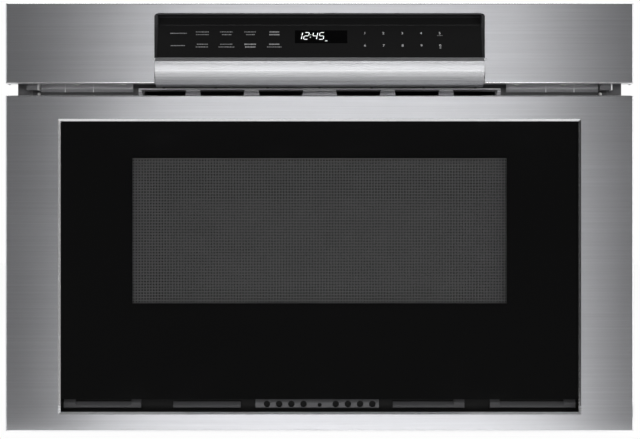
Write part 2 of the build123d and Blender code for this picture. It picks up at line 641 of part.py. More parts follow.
# ---------------------------------------------------------------- cooling air
FAN_X = -122.0
FAN_Y = TUBE_Y + 5.0
FAN_Z = CAVITY_CEILING - 40.0
FAN_R = 52.0
FAN_GAP = 3.0
FAN_SHAFT_R = 2.5
BLADE_COUNT = 5
BLADE_PITCH = 38.0           # degrees
FAN_HUB_R = 14.0
SHROUD = 1.5
SHROUD_HALF = 66.0
DUCT = 1.5
DUCT_GAP = 0.3               # between the ducts and the magnetron's ears
HUB_X = FAN_X - 19.0         # motor's seat on the shroud's arms


def fan_shroud():
    """Moulded fan housing: an upright plate with the fan's ring and the motor's three-way arms,
    and the tapered guide that leads the air into the magnetron's fins."""
    hole_r = FAN_R + FAN_GAP
    shroud = block((FAN_X, FAN_X + SHROUD), span(FAN_Y, SHROUD_HALF), (SHEET, FAN_Z + SHROUD_HALF - 2))
    shroud += block((FAN_X, FAN_X + 25), span(FAN_Y, SHROUD_HALF), (SHEET, SHEET + SHROUD))
    shroud += rod_x(hole_r + 3, (HUB_X, FAN_X + SHROUD), FAN_Y, FAN_Z)
    shroud -= rod_x(hole_r, (HUB_X - 1, FAN_X + 2), FAN_Y, FAN_Z)
    arm = block((HUB_X, HUB_X + 3), (-4, 4), (16, hole_r + 1))
    for angle in (45, 135, 225, 315):
        shroud += Pos(0, FAN_Y, FAN_Z) * Rot(angle, 0, 0) * arm
    shroud += rod_x(18, (HUB_X, HUB_X + 3), FAN_Y, FAN_Z)
    shroud -= rod_x(6, (HUB_X - 1, HUB_X + 4), FAN_Y, FAN_Z)

    def section(x, y, z):
        plane = Plane(origin=(x, sum(y) / 2, sum(z) / 2), x_dir=(0, 1, 0), z_dir=(1, 0, 0))
        return plane * Rectangle(y[1] - y[0], z[1] - z[0])

    start, end = FAN_X + SHROUD, -YOKE_HALF_X - YOKE_EAR - DUCT_GAP
    wide = (span(FAN_Y, hole_r + 3), span(FAN_Z, hole_r + 3))
    narrow = (YOKE_Y, (YOKE_LOW, GUIDE_LOW - 2))

    def inside(limits):
        return (limits[0] + DUCT, limits[1] - DUCT)

    guide = loft([section(start, *wide), section(end, *narrow)])
    wide_room = section(start, *[inside(limits) for limits in wide])
    narrow_room = section(end, *[inside(limits) for limits in narrow])
    return shroud + (guide - loft([wide_room, narrow_room]))


def fan_motor():
    """Shaded-pole motor: a laminated stack with its coil, fixed to the shroud's arms."""
    stack = block((HUB_X - 26, HUB_X - 8), span(FAN_Y, 32), span(FAN_Z, 30))
    stack = fillet(stack.edges().filter_by(Axis.X), 5)
    coil = block((HUB_X - 36, HUB_X - 0.5), span(FAN_Y, 18), (FAN_Z - 48, FAN_Z - 24))
    coil = fillet(coil.edges().filter_by(Axis.X), 5)
    motor = stack + coil + rod_x(9, (HUB_X - 33, HUB_X), FAN_Y, FAN_Z)
    return motor - rod_x(FAN_SHAFT_R + RUNNING_FIT, (HUB_X - 23, HUB_X + 1), FAN_Y, FAN_Z)


def fan_blade():
    """Moulded fan: a hub with pitched blades, on its steel shaft."""
    hub = rod_x(FAN_HUB_R, (FAN_X - 13, FAN_X + 5), FAN_Y, FAN_Z)
    wheel = chamfer(hub.edges().group_by(Axis.X)[-1], 3)
    wheel += rod_x(FAN_SHAFT_R, (HUB_X - 21, FAN_X), FAN_Y, FAN_Z)
    blade = Rot(0, 0, BLADE_PITCH) * block(span(0, 10.5), span(0, 0.8), (FAN_HUB_R - 4, FAN_R))
    for n in range(BLADE_COUNT):
        wheel += Pos(FAN_X - 4, FAN_Y, FAN_Z) * Rot(360 / BLADE_COUNT * n, 0, 0) * blade
    return wheel


DUCT_NEAR = YOKE_HALF_X + YOKE_EAR + DUCT_GAP
DUCT_FAR = 150.0
DUCT_HIGH = CAVITY_CEILING + 100.0


def exhaust_duct():
    """Air duct from the magnetron, up and forward over the cavity, to the vents above the drawer."""
    plenum = ((DUCT_NEAR, DUCT_FAR), YOKE_Y, (YOKE_LOW, DUCT_HIGH))
    run = ((DUCT_FAR - 70, DUCT_FAR), (50.0, YOKE_Y[0] + 10), (DUCT_HIGH - 32, DUCT_HIGH))
    hood = ((-VENT_HALF - 3, VENT_HALF + 3), (0.0, 60.0), (VENT_Z[0] - 3, DUCT_HIGH))
    duct = block(*plenum) + block(*run) + block(*hood)
    for limits in (plenum, run, hood):
        duct -= block(*[(low + DUCT, high - DUCT) for low, high in limits])
    inlet_y = (YOKE_Y[0] + 6, YOKE_Y[1] - 6)
    duct -= block(span(DUCT_NEAR, 5), inlet_y, (YOKE_LOW + 6, GUIDE_LOW - 8))
    return duct - block(span(0, VENT_HALF), (-1, 5), VENT_Z)


# ---------------------------------------------------------------- rack drive
def gear_outline(module, teeth, phase):
    """Involute spur gear in (y, z). The middle of a tooth lies at phase, in degrees above +Y."""
    pitch_r = module * teeth / 2
    base_r = pitch_r * cos(radians(PRESSURE_ANGLE))
    tip_r, root_r = pitch_r + module, pitch_r - 1.25 * module

    def involute(r):
        angle = acos(min(1.0, base_r / r))
        return tan(angle) - angle

    half_tooth = (pi * module / 2 - BACKLASH) / (2 * pitch_r) + involute(pitch_r)
    start = max(base_r, root_r)
    radii = (start, (start + tip_r) / 2, tip_r)
    flank = [(root_r, half_tooth)] + [(r, half_tooth - involute(r)) for r in radii]
    points = []
    for n in range(teeth):
        middle = radians(phase) + 2 * pi * n / teeth
        points += [(r * cos(middle - a), r * sin(middle - a)) for r, a in flank]
        points += [(r * cos(middle + a), r * sin(middle + a)) for r, a in reversed(flank)]
    return polygon(*points)


def spur_gear(module, teeth, phase, x, y, z):
    """A gear that turns about an X axis through (y, z), between two x limits."""
    return along_x(Pos(y, z) * gear_outline(module, teeth, phase), *x)


def rack_outline(y):
    """Rack with its teeth down, in (y, z). The middle of a gap lies over the pinion's axis."""
    pitch = pi * RACK_MODULE
    slope = tan(radians(PRESSURE_ANGLE))
    root = RACK_PITCH_Z + 1.25 * RACK_MODULE
    half = (pitch / 2 - BACKLASH) / 2
    tip_half = half - RACK_MODULE * slope
    root_half = half + 1.25 * RACK_MODULE * slope
    points = [(y[0], root + RACK_BODY), (y[0], root)]
    tooth = int((y[0] - SHAFT_Y) // pitch)
    while SHAFT_Y + (tooth + 0.5) * pitch + root_half < y[1]:
        middle = SHAFT_Y + (tooth + 0.5) * pitch
        if middle - root_half > y[0]:
            points += [(middle - root_half, root), (middle - tip_half, RACK_TIP_Z)]
            points += [(middle + tip_half, RACK_TIP_Z), (middle + root_half, root)]
        tooth += 1
    points += [(y[1], root), (y[1], root + RACK_BODY)]
    return polygon(*points)


def racks():
    """Toothed bars on the drawer's arms."""
    return group(both_sides(along_x(rack_outline(RACK_Y), *RACK_X)))


HUB_R = 9.0
HUB_LENGTH = 7.0


def rack_pinions():
    """Pinions with hubs, at the two ends of the cross shaft, under the racks."""
    x = span(sum(RACK_X) / 2, PINION_WIDTH / 2)
    gear = spur_gear(RACK_MODULE, PINION_TEETH, 90, x, SHAFT_Y, SHAFT_Z)
    gear += rod_x(HUB_R, (x[0] - HUB_LENGTH, x[0]), SHAFT_Y, SHAFT_Z)
    gear -= rod_x(SHAFT_R, (x[0] - HUB_LENGTH - 1, x[1] + 1), SHAFT_Y, SHAFT_Z)
    return group(both_sides(gear))


BEARING_X = (ARM_OUT + 1.5, ARM_OUT + 9.5)
BEARING_R = SHAFT_R + 8.0
BEARING_FOOT = 4.0


def cross_shaft():
    """Steel shaft that turns both pinions together."""
    return rod_x(SHAFT_R, span(0, BEARING_X[1] - 1), SHAFT_Y, SHAFT_Z)


def shaft_bearings():
    """Moulded posts on the base that carry the cross shaft, with a rib and a wide foot."""
    post = block(BEARING_X, span(SHAFT_Y, BEARING_R), (SHEET, SHAFT_Z))
    post += rod_x(BEARING_R, BEARING_X, SHAFT_Y, SHAFT_Z)
    foot_x = (BEARING_X[0] - BEARING_R, BEARING_X[1] + BEARING_R)
    post += block(foot_x, span(SHAFT_Y, BEARING_R + 4), (SHEET, SHEET + BEARING_FOOT))
    rib = polygon((foot_x[0], SHEET), (BEARING_X[0], SHEET), (BEARING_X[0], SHAFT_Z - 30))
    post += along_y(rib, SHAFT_Y - 1.5, SHAFT_Y + 1.5)
    hole_x = (BEARING_X[0] - 1, BEARING_X[1] + 1)
    return group(both_sides(post - rod_x(SHAFT_R + RUNNING_FIT, hole_x, SHAFT_Y, SHAFT_Z)))


GEAR_HOLES = 5
GEAR_HOLE_R = 5.5


def drive_gear():
    """Large gear on the cross shaft, with its hub and lightening holes."""
    x = (DRIVE_X, DRIVE_X + DRIVE_GEAR_WIDTH)
    gear = spur_gear(DRIVE_MODULE, DRIVE_GEAR_TEETH, MOTOR_DIRECTION, x, SHAFT_Y, SHAFT_Z)
    gear += rod_x(HUB_R, (x[0] - HUB_LENGTH, x[0]), SHAFT_Y, SHAFT_Z)
    reach = (HUB_R + GEAR_R - 1.25 * DRIVE_MODULE) / 2
    through = span(x[0], 20)
    for n in range(GEAR_HOLES):
        angle = 2 * pi * n / GEAR_HOLES
        y, z = SHAFT_Y + reach * cos(angle), SHAFT_Z + reach * sin(angle)
        gear -= rod_x(GEAR_HOLE_R, through, y, z)
    return gear - rod_x(SHAFT_R, through, SHAFT_Y, SHAFT_Z)


BRACKET_X = (DRIVE_X + DRIVE_GEAR_WIDTH + 5, DRIVE_X + DRIVE_GEAR_WIDTH + 7)
BRACKET_Y = (MOTOR_Y - 27, MOTOR_Y + 34)
MOTOR_SHAFT_R = 4.0
MOTOR_GRIP = 14.0            # pinion's shaft inside the gearbox
MOTOR_BOSS_R = 8.7


def motor_pinion():
    """Motor's output pinion and its shaft."""
    facing = MOTOR_DIRECTION + 180 + 180 / MOTOR_PINION_TEETH
    x = (DRIVE_X - 1, DRIVE_X + DRIVE_GEAR_WIDTH + 1)
    gear = spur_gear(DRIVE_MODULE, MOTOR_PINION_TEETH, facing, x, MOTOR_Y, MOTOR_Z)
    return gear + rod_x(MOTOR_SHAFT_R, (x[1], BRACKET_X[1] + MOTOR_GRIP), MOTOR_Y, MOTOR_Z)


def motor_bracket():
    """Bent plate on the base that holds the drawer's motor."""
    plate = block(BRACKET_X, BRACKET_Y, (SHEET, MOTOR_Z + 34))
    plate = fillet(plate.edges().filter_by(Axis.X).group_by(Axis.Z)[-1], 10)
    plate += block((BRACKET_X[0], BRACKET_X[1] + 24), BRACKET_Y, (SHEET, SHEET + 2))
    return plate - rod_x(MOTOR_BOSS_R + 0.3, span(BRACKET_X[0], 5), MOTOR_Y, MOTOR_Z)


def drive_motor():
    """Gear motor that opens and closes the drawer."""
    x = BRACKET_X[1]
    motor = block((x, x + 30), (BRACKET_Y[0] + 2, BRACKET_Y[1] - 2), span(MOTOR_Z, 30))
    motor = fillet(motor.edges().filter_by(Axis.X), 6)
    can = rod_x(17, (x + 30, x + 78), MOTOR_Y + 8, MOTOR_Z)
    motor += chamfer(can.edges().group_by(Axis.X)[-1], 2)
    motor += rod_x(MOTOR_BOSS_R, (BRACKET_X[0], x), MOTOR_Y, MOTOR_Z)
    socket_x = (BRACKET_X[0] - 1, x + MOTOR_GRIP + 2)
    return motor - rod_x(MOTOR_SHAFT_R + RUNNING_FIT, socket_x, MOTOR_Y, MOTOR_Z)


# ---------------------------------------------------------------- telescopic slides
OUTER_MOUTH_X = ARM_OUT + RAIL_SEAT          # where each member's lips face the arm
MIDDLE_MOUTH_X = OUTER_MOUTH_X + RAIL_STEP
INNER_TURN_X = MIDDLE_MOUTH_X + RAIL_STEP
OUTER_LIP = 5.0
MIDDLE_LIP = 3.6


def channel(back, mouth, half, lip):
    """A C section with curled lips, its mouth towards the middle of the oven, in (x, z)."""
    t = RAIL_SHEET
    upper = [
        (mouth, half - lip), (mouth, half), (back, half), (back, 0), (back - t, 0),
        (back - t, half - t), (mouth + t, half - t), (mouth + t, half - lip),
    ]
    side = polygon(*upper)
    side = fillet([v for v in side.vertices() if v.X > back - 0.1 and v.Y > half - 0.1], 1.2)
    return Pos(0, RAIL_Z) * (side + mirror(side, about=Plane.XZ))


def outer_rails():
    """Fixed members of the two slides, with their screw holes."""
    rail = along_y(channel(RAIL_BACK_X, OUTER_MOUTH_X, RAIL_HEIGHT / 2, OUTER_LIP), RAIL_START, RAIL_END)
    for y in (RAIL_START + 60, RAIL_END - 60):
        rail -= rod_x(3, span(RAIL_BACK_X, 3), y, RAIL_Z)
    return group(both_sides(rail))


def middle_rail():
    """Right-hand member between the fixed one and the drawer's, which travels half as far."""
    back = RAIL_BACK_X - RAIL_STEP
    profile = channel(back, MIDDLE_MOUTH_X, RAIL_HEIGHT / 2 - RAIL_STEP, MIDDLE_LIP)
    rail = along_y(profile, RAIL_START, RAIL_END)
    for y in (RAIL_START + 20, RAIL_END - 20):
        rail -= block(span(back, 3), span(y, 8), span(RAIL_Z, 4))
    return rail


def inner_rails():
    """Members that are fixed to the drawer's arms: a hat section with its rims turned back."""
    t = RAIL_SHEET
    half = RAIL_HEIGHT / 2 - 2 * RAIL_STEP
    back = RAIL_BACK_X - 2 * RAIL_STEP
    crown = half - OUTER_LIP
    upper = polygon(
        (back, half), (INNER_TURN_X, half), (INNER_TURN_X, crown), (ARM_OUT, crown), (ARM_OUT, 0),
        (ARM_OUT + t, 0), (ARM_OUT + t, crown - t), (INNER_TURN_X + t, crown - t),
        (INNER_TURN_X + t, half - t), (back, half - t),
    )
    profile = Pos(0, RAIL_Z) * (upper + mirror(upper, about=Plane.XZ))
    return group(both_sides(along_y(profile, RAIL_START, RAIL_END)))


HAT_HALF = 20.0
HAT_RIM = 14.0


def rail_mounts():
    """Hat-section brackets between the fixed members and the sides of the case."""
    x0, x1, t = RAIL_BACK_X, SIDE_IN, SHEET
    upper = polygon(
        (x0, 0), (x0, HAT_HALF + t), (x1 - t, HAT_HALF + t), (x1 - t, HAT_HALF + HAT_RIM),
        (x1, HAT_HALF + HAT_RIM), (x1, HAT_HALF), (x0 + t, HAT_HALF), (x0 + t, 0),
    )
    profile = Pos(0, RAIL_Z) * (upper + mirror(upper, about=Plane.XZ))
    return group(both_sides(along_y(profile, RAIL_START + 10, RAIL_END - 10)))


def drawer_arms():
    """Plates that carry the drawer front on the slides, with a foot behind the front."""
    tail = RAIL_END - 60
    outline = polygon(
        (DOOR_REAR, ARM_LOW), (RAIL_END, ARM_LOW), (RAIL_END, ARM_LOW + 22), (tail, RAIL_Z - 14),
        (tail, RAIL_Z + 14), (60, ARM_HIGH - 12), (40, ARM_HIGH), (DOOR_REAR, ARM_HIGH),
    )
    arm = along_x(outline, ARM_IN, ARM_OUT)
    arm += block((ARM_IN - ARM_FOOT, ARM_OUT), (DOOR_REAR, DOOR_REAR + ARM_PLATE), (ARM_LOW, ARM_HIGH))
    return group(both_sides(arm))


# ---------------------------------------------------------------- interlocks
HOOK = 3.0
HOOK_TIP = 32.0
SWITCH = (10.4, 28.0, 16.0)
SWITCH_GAP = 4.0             # behind the hook's tip


def latch_hooks():
    """Hooks behind the drawer front that press the interlock switches."""
    outline = polygon(
        (DOOR_REAR, HOOK_Z - 12), (HOOK_TIP - 8, HOOK_Z - 4), (HOOK_TIP, HOOK_Z - 4), (HOOK_TIP, HOOK_Z + 8),
        (HOOK_TIP - 5, HOOK_Z + 8), (HOOK_TIP - 9, HOOK_Z + 4), (DOOR_REAR, HOOK_Z + 9),
    )
    hook = along_x(outline, *span(HOOK_X, HOOK / 2))
    foot_x = (HOOK_X - 12, HOOK_X + HOOK / 2)
    hook += block(foot_x, (DOOR_REAR, DOOR_REAR + HOOK / 2), (HOOK_Z - 14, HOOK_Z + 11))
    return group(both_sides(hook))


def interlock_switches():
    """Three micro switches with their plungers, on two brackets behind the front frame."""
    wall = 1.5
    bracket = block(span(HOOK_X, 12), (0, wall), (HOOK_Z + 14, HOOK_Z + 30))
    bracket += block((HOOK_X - 12, HOOK_X - 12 + wall), (0, 68), (HOOK_Z - 16, HOOK_Z + 30))
    y = (HOOK_TIP + SWITCH_GAP, HOOK_TIP + SWITCH_GAP + SWITCH[1])
    x = (HOOK_X - 12 + wall, HOOK_X - 12 + wall + SWITCH[0])
    lower = block(x, y, (HOOK_Z - 12, HOOK_Z - 12 + SWITCH[2]))
    lower += rod_y(1.5, sum(x) / 2 + 3, (HOOK_TIP + 0.4, y[0]), HOOK_Z)
    upper = block(x, y, (HOOK_Z + 6, HOOK_Z + 6 + SWITCH[2]))
    return group(both_sides(bracket), both_sides(lower), upper)


# ---------------------------------------------------------------- drawer front
def door_trim():
    """Stainless surround of the drawer front: folded sheet with a sloped edge to its opening."""
    shell = block(span(0, FRONT_HALF), (DOOR_FRONT, TRIM_BACK), (DOOR_LOW, DOOR_HIGH))
    shell = fillet(shell.edges().group_by(Axis.Y)[0], FOLD_R)
    shell -= block(span(0, FRONT_HALF - TRIM), (DOOR_FRONT + TRIM, 0), (DOOR_LOW + TRIM, DOOR_HIGH - TRIM))

    def opening(y, spread):
        height = THROAT_HIGH - THROAT_LOW
        face = Plane(origin=(0, y, THROAT_LOW + height / 2), x_dir=(1, 0, 0), z_dir=(0, -1, 0))
        return face * Rectangle(2 * (THROAT_HALF + spread), height + 2 * spread)

    def funnel(spread):
        return loft([opening(DOOR_FRONT + BEVEL, spread), opening(DOOR_FRONT, BEVEL + spread)])

    collar_z = (THROAT_LOW - TRIM, THROAT_HIGH + TRIM)
    collar = block(span(0, THROAT_HALF + TRIM), (DOOR_FRONT + BEVEL, GLASS_FRONT), collar_z)
    throat = block(span(0, THROAT_HALF), (DOOR_FRONT - 1, 0), (THROAT_LOW, THROAT_HIGH))
    return shell + funnel(TRIM) + collar - funnel(0) - throat


def door_glass():
    """Black front glass, clear over the window, with a ground edge."""
    pane = block(span(0, GLASS_HALF), (GLASS_FRONT, GLASS_BACK), (GLASS_LOW, GLASS_HIGH))
    return chamfer(pane.edges().group_by(Axis.Y)[0], 0.6)


CHOKE_INNER = (CHOKE_HALF, CHOKE_LOW, CHOKE_HIGH)
CHOKE_OUTER = grown(CHOKE_INNER, CHOKE_WIDTH)
INNER_GLASS_SIDE = 2.0       # inner glass inside the choke's inner wall
GLASS_STOP = 11.0            # lip that holds the inner glass


def door_screen():
    """Steel screen behind the window, drawn without its holes, which are about 1 mm wide."""
    return block(span(0, CHOKE_HALF), (CHOKE_FRONT - SCREEN, CHOKE_FRONT), CHOKE_INNER[1:])


def choke_fins(length, place):
    """One side's row of slotted fins, along X in the row's own frame; place carries it there."""
    pitch = CHOKE_FIN + CHOKE_FIN_GAP
    count = int((length + CHOKE_FIN_GAP) // pitch)
    rear = -1.8
    turn = -CHOKE_WIDTH / 2
    fins = []
    for n in range(count):
        x = span(pitch * (n - (count - 1) / 2), CHOKE_FIN / 2)
        fin = block(x, (rear - SHEET, rear), (-CHOKE_WIDTH - SHEET / 2, turn))
        fins.append(place * (fin + block(x, (rear - 8, rear), (turn - SHEET, turn))))
    return fins


def door_choke_frame():
    """Steel frame round the window: a deep channel with slotted fins that keeps microwaves in."""
    window = grown(CHOKE_INNER, -WINDOW_MARGIN)
    outer_wall_in = grown(CHOKE_OUTER, -SHEET)
    inner_wall_in = grown(CHOKE_INNER, -SHEET)
    frame = ring_plate(CHOKE_OUTER, inner_wall_in, (CHOKE_FRONT, CHOKE_BACK))
    frame -= ring_plate(outer_wall_in, CHOKE_INNER, (CHOKE_FRONT + SHEET, CHOKE_BACK + 1))
    frame += ring_plate(grown(CHOKE_OUTER, 8), outer_wall_in, (DOOR_REAR, CHOKE_BACK))
    frame += ring_plate(CHOKE_INNER, grown(CHOKE_INNER, -GLASS_STOP), (DOOR_REAR, CHOKE_BACK))
    frame += ring_plate(CHOKE_INNER, window, (CHOKE_FRONT, CHOKE_FRONT + SHEET))
    half, low, high = CHOKE_OUTER
    middle = (low + high) / 2
    across, upright = 2 * (half - CHOKE_WIDTH), high - low - 2 * CHOKE_WIDTH
    fins = choke_fins(across, Pos(0, CHOKE_BACK, high))
    fins += choke_fins(across, Pos(0, CHOKE_BACK, low) * Rot(0, 180, 0))
    fins += choke_fins(upright, Pos(half, CHOKE_BACK, middle) * Rot(0, 90, 0))
    fins += choke_fins(upright, Pos(-half, CHOKE_BACK, middle) * Rot(0, -90, 0))
    return frame + fins


def choke_cover():
    """Plastic ring that closes the choke channel towards the oven."""
    outer, inner = grown(CHOKE_OUTER, 2), grown(CHOKE_INNER, -2)
    return ring_plate(outer, inner, (CHOKE_BACK, CHOKE_BACK + 1.5))


def door_inner_glass():
    """Inner pane that keeps food off the screen."""
    half, low, high = grown(CHOKE_INNER, -INNER_GLASS_SIDE)
    return block(span(0, half), (DOOR_REAR - INNER_GLASS, DOOR_REAR), (low, high))


STRIP_Y = GLASS_BACK + 6.25          # front of the air inlet strip, behind the glass
STRIP_DEPTH = 6.0
STRIP_Z = (OPENING_LOW + 5.1, GLASS_LOW - 3.8)
STRIP_HIGH = GLASS_LOW - 0.9         # its upturned ends and drilled piece
STRIP_BARS = ((-311.0, -217.0), (-178.0, -96.0), (89.0, 176.0), (207.0, 311.0))
STRIP_ENDS = ((-311.0, -297.0), (-229.0, -217.0), (163.0, 176.0), (207.0, 219.0), (297.0, 311.0))
STRIP_MIDDLE = (-78.0, 72.0)
STRIP_HOLE_R = 4.0
STRIP_HOLE_FIRST = 19.6
STRIP_HOLE_PITCH = 14.8


def lower_vent_strip():
    """Air inlet strip in the slot under the glass: rounded bars with a drilled piece between."""
    rear = STRIP_Y + STRIP_DEPTH
    strip = block(span(0, OPENING_HALF), (rear, rear + SHEET), (DOOR_LOW + TRIM, GLASS_LOW + 2))
    for low, high in STRIP_BARS:
        slot = fillet(block((low + 8, high - 8), span(rear, 3), (10, 24)).edges().filter_by(Axis.Y), 5)
        strip -= slot

    def bar(x, top):
        low = STRIP_Z[0]
        nose = ((STRIP_Y + 3, top), (STRIP_Y, top - 4), (STRIP_Y, low + 2))
        return along_x(polygon((rear, low), (rear, top), *nose), *x)

    for x in STRIP_BARS:
        strip += bar(x, STRIP_Z[1])
    for x in STRIP_ENDS:
        strip += bar(x, STRIP_HIGH)
    strip += bar(STRIP_MIDDLE, STRIP_HIGH)
    hole_y = (STRIP_Y - 1, rear - 1)
    for n in range(4):
        x = STRIP_HOLE_FIRST + STRIP_HOLE_PITCH * n
        strip -= both_sides(rod_y(STRIP_HOLE_R, x, hole_y, STRIP_HIGH - STRIP_HOLE_R - 1.9))
    return strip - rod_y(2.5, 0, hole_y, STRIP_HIGH - 7)


PAN_MARGIN = 8.0             # back panel's wall outside the glass
PAN_LEDGE = 12.0             # ledge that backs the glass


def door_back_panel():
    """Pan that closes the drawer front from behind and backs the glass, with air inlets below."""
    edge = (FRONT_HALF - TRIM, DOOR_LOW + TRIM, DOOR_HIGH - TRIM)
    pan = ring_plate(edge, CHOKE_OUTER, (TRIM_BACK, DOOR_REAR))
    wall = (GLASS_HALF + PAN_MARGIN, GLASS_LOW + 2, GLASS_HIGH + PAN_MARGIN)
    inner = grown(wall, -SHEET)
    pan += ring_plate(wall, inner, (GLASS_BACK, TRIM_BACK))
    pan += ring_plate(wall, grown(inner, -PAN_LEDGE), (GLASS_BACK, GLASS_BACK + SHEET))
    for low, high in STRIP_BARS:
        pan -= block((low + 6, high - 6), (TRIM_BACK - 1, DOOR_REAR + 1), (INTAKE_Z[0], INTAKE_Z[1] + 4))
    return pan


# ---------------------------------------------------------------- drawer box
HEM = 1.2                    # rim's turned-over edge, outside the wall
HEM_HEIGHT = 8.0


def box_form(grow, y, z, corner, foot):
    """The drawer box's rounded form: full height corners at the rear, a small radius below."""
    form = block(span(0, BOX_HALF + grow), y, z)
    form = fillet(form.edges().filter_by(Axis.Z).group_by(Axis.Y)[-1], corner)
    if foot:
        under = form.edges().group_by(Axis.Z)[0]
        form = fillet([edge for edge in under if edge.center().Y > y[0] + 0.1], foot)
    return form


def drawer_box():
    """Open-topped food box behind the drawer front, with rounded corners and a hemmed rim."""
    t = BOX_WALL
    box = box_form(0, (CHOKE_BACK, BOX_BACK), (BOX_LOW, BOX_HIGH), BOX_CORNER_R, BOX_FOOT_R)
    rim_z = (BOX_HIGH - HEM_HEIGHT, BOX_HIGH)
    box += box_form(HEM, (CHOKE_BACK, BOX_BACK + HEM), rim_z, BOX_CORNER_R + HEM, 0)
    room_y, room_z = (CHOKE_BACK - 30, BOX_BACK - t), (BOX_LOW + t, BOX_HIGH + 9)
    return box - box_form(-t, room_y, room_z, BOX_CORNER_R - t, BOX_FOOT_R - t)


def ceramic_shelf():
    """Flat ceramic plate on the floor of the drawer box."""
    low = BOX_LOW + BOX_WALL
    half = BOX_HALF - BOX_WALL - CERAMIC_MARGIN
    y = (CHOKE_BACK + 3, BOX_BACK - BOX_WALL - CERAMIC_MARGIN)
    plate = block(span(0, half), y, (low, low + CERAMIC))
    plate = fillet(plate.edges().filter_by(Axis.Z), 14)
    return chamfer(plate.edges().group_by(Axis.Z)[-1], 1)


# ---------------------------------------------------------------- controls
FASCIA_HEM = 14.0            # upper panel's lower edge, folded back
NOTCH_EASE = 0.5             # chamfer along the notch's top


def control_fascia():
    """Stainless upper panel: folded sheet with a notch for the controls."""
    shell = block(span(0, FRONT_HALF), (DOOR_FRONT, TRIM_BACK), (FASCIA_LOW, FASCIA_HIGH))
    shell = fillet(shell.edges().group_by(Axis.Y)[0], FOLD_R)
    inside = span(0, FRONT_HALF - TRIM)
    shell -= block(inside, (DOOR_FRONT + TRIM, 1), (FASCIA_LOW + TRIM, FASCIA_HIGH - TRIM))
    shell -= block(inside, (DOOR_FRONT + FASCIA_HEM, 1), (FASCIA_LOW - 1, FASCIA_LOW + TRIM + 1))
    notch = block(span(0, NOTCH_HALF), span(DOOR_FRONT, FASCIA_HEM + 1), (FASCIA_LOW - 5, NOTCH_TOP))
    shell -= fillet(notch.edges().filter_by(Axis.Y).group_by(Axis.Z)[-1], 4)
    front, back = DOOR_FRONT - NOTCH_EASE, DOOR_FRONT + NOTCH_EASE
    under, over = NOTCH_TOP - 1, NOTCH_TOP + 2 * NOTCH_EASE
    ease = polygon((back, under), (back, NOTCH_TOP), (front, over), (front, under))
    return shell - along_x(ease, 4 - NOTCH_HALF, NOTCH_HALF - 4)


def lip_edges(inset):
    """The lip's outline in (y, z), moved in by inset: its top, nose, arc middle and end."""
    top = (PANEL_FRONT[0] + inset, PANEL_FRONT[1] - inset * PANEL_RUN / PANEL_RISE)
    nose = (LIP_NOSE[0] + inset, LIP_NOSE[1])
    end = (LIP_END[0], LIP_END[1] + inset)
    across, down = end[0] - nose[0], nose[1] - end[1]
    middle = (end[0] - across * cos(pi / 4), nose[1] - down * sin(pi / 4))
    return top, nose, middle, end


def lip_core():
    """The room inside the rolled sheet, up to the line from its top to its end."""
    top, nose, middle, end = lip_edges(TRIM)
    return make_face(Wire.combine([Line(top, nose), ThreePointArc(nose, middle, end), Line(end, top)])[0])


CLIP_R = 1.7
CLIP_X = PANEL_HALF + 0.8
CLIP_LENGTH = 7.0


def control_lip():
    """Stainless nose under the touch glass: a rolled sheet, closed at its ends, each of which has
    a small round clip at its upper corner."""
    top, nose, middle, end = lip_edges(0)
    top_in, nose_in, middle_in, end_in = lip_edges(TRIM)
    outline = [
        Line(top, nose), ThreePointArc(nose, middle, end), Line(end, end_in),
        ThreePointArc(end_in, middle_in, nose_in), Line(nose_in, top_in), Line(top_in, top),
    ]
    lip = along_x(make_face(Wire.combine(outline)[0]), -PANEL_HALF, PANEL_HALF)
    lip += both_sides(along_x(lip_core(), PANEL_HALF - TRIM, PANEL_HALF))
    clip_z = (top[1] + nose[1]) / 2
    clip = rod_y(CLIP_R, CLIP_X, (nose[0], nose[0] + CLIP_LENGTH), clip_z)
    clip -= rod_y(CLIP_R / 3, CLIP_X, (nose[0] - 1, nose[0] + 2), clip_z)
    clip -= block(span(0, PANEL_HALF), (nose_in[0], 0), span(clip_z, CLIP_R))
    return lip + both_sides(clip)


def on_panel(x, depth, along):
    """A box in the touch glass's own frame: x, depth behind its face, distance up its slope."""
    return Pos(0, *PANEL_MIDDLE) * Rot(-PANEL_TILT, 0, 0) * block(x, depth, along)


PANEL_ALONG = span(0, PANEL_LENGTH / 2)
GLASS_FIT = 0.3


def control_glass():
    """Black touch glass, leaning back over the lip."""
    along = (PANEL_ALONG[0] + GLASS_FIT, PANEL_ALONG[1])
    return on_panel(span(0, TOUCH_GLASS_HALF), (0, TOUCH_GLASS), along)


HOUSING_TOP = PANEL_TOP[1] + 3.2
HOUSING_CREST = PANEL_TOP[0] + 2.4
HOUSING_LEDGE = 6.0          # ledge that the glass rests on
COVER_FLANGE = 6.0           # housing behind the notch's edge


def housing_outline(inset):
    """Side view of the control housing in (y, z), moved in by inset; the back stays open."""
    top, nose, middle, end = lip_edges(TRIM + inset)
    back = TRIM_BACK + inset
    high = HOUSING_TOP - inset
    crest = (HOUSING_CREST + 1.6 * inset, high)
    edges = [
        Line(top, nose), ThreePointArc(nose, middle, end), Line(end, (back, end[1])),
        Line((back, end[1]), (back, high)), Line((back, high), crest), Line(crest, top),
    ]
    return make_face(Wire.combine(edges)[0])


LUG_PITCH = 62.9             # small lugs under the housing
LUG_DROP = 2.2


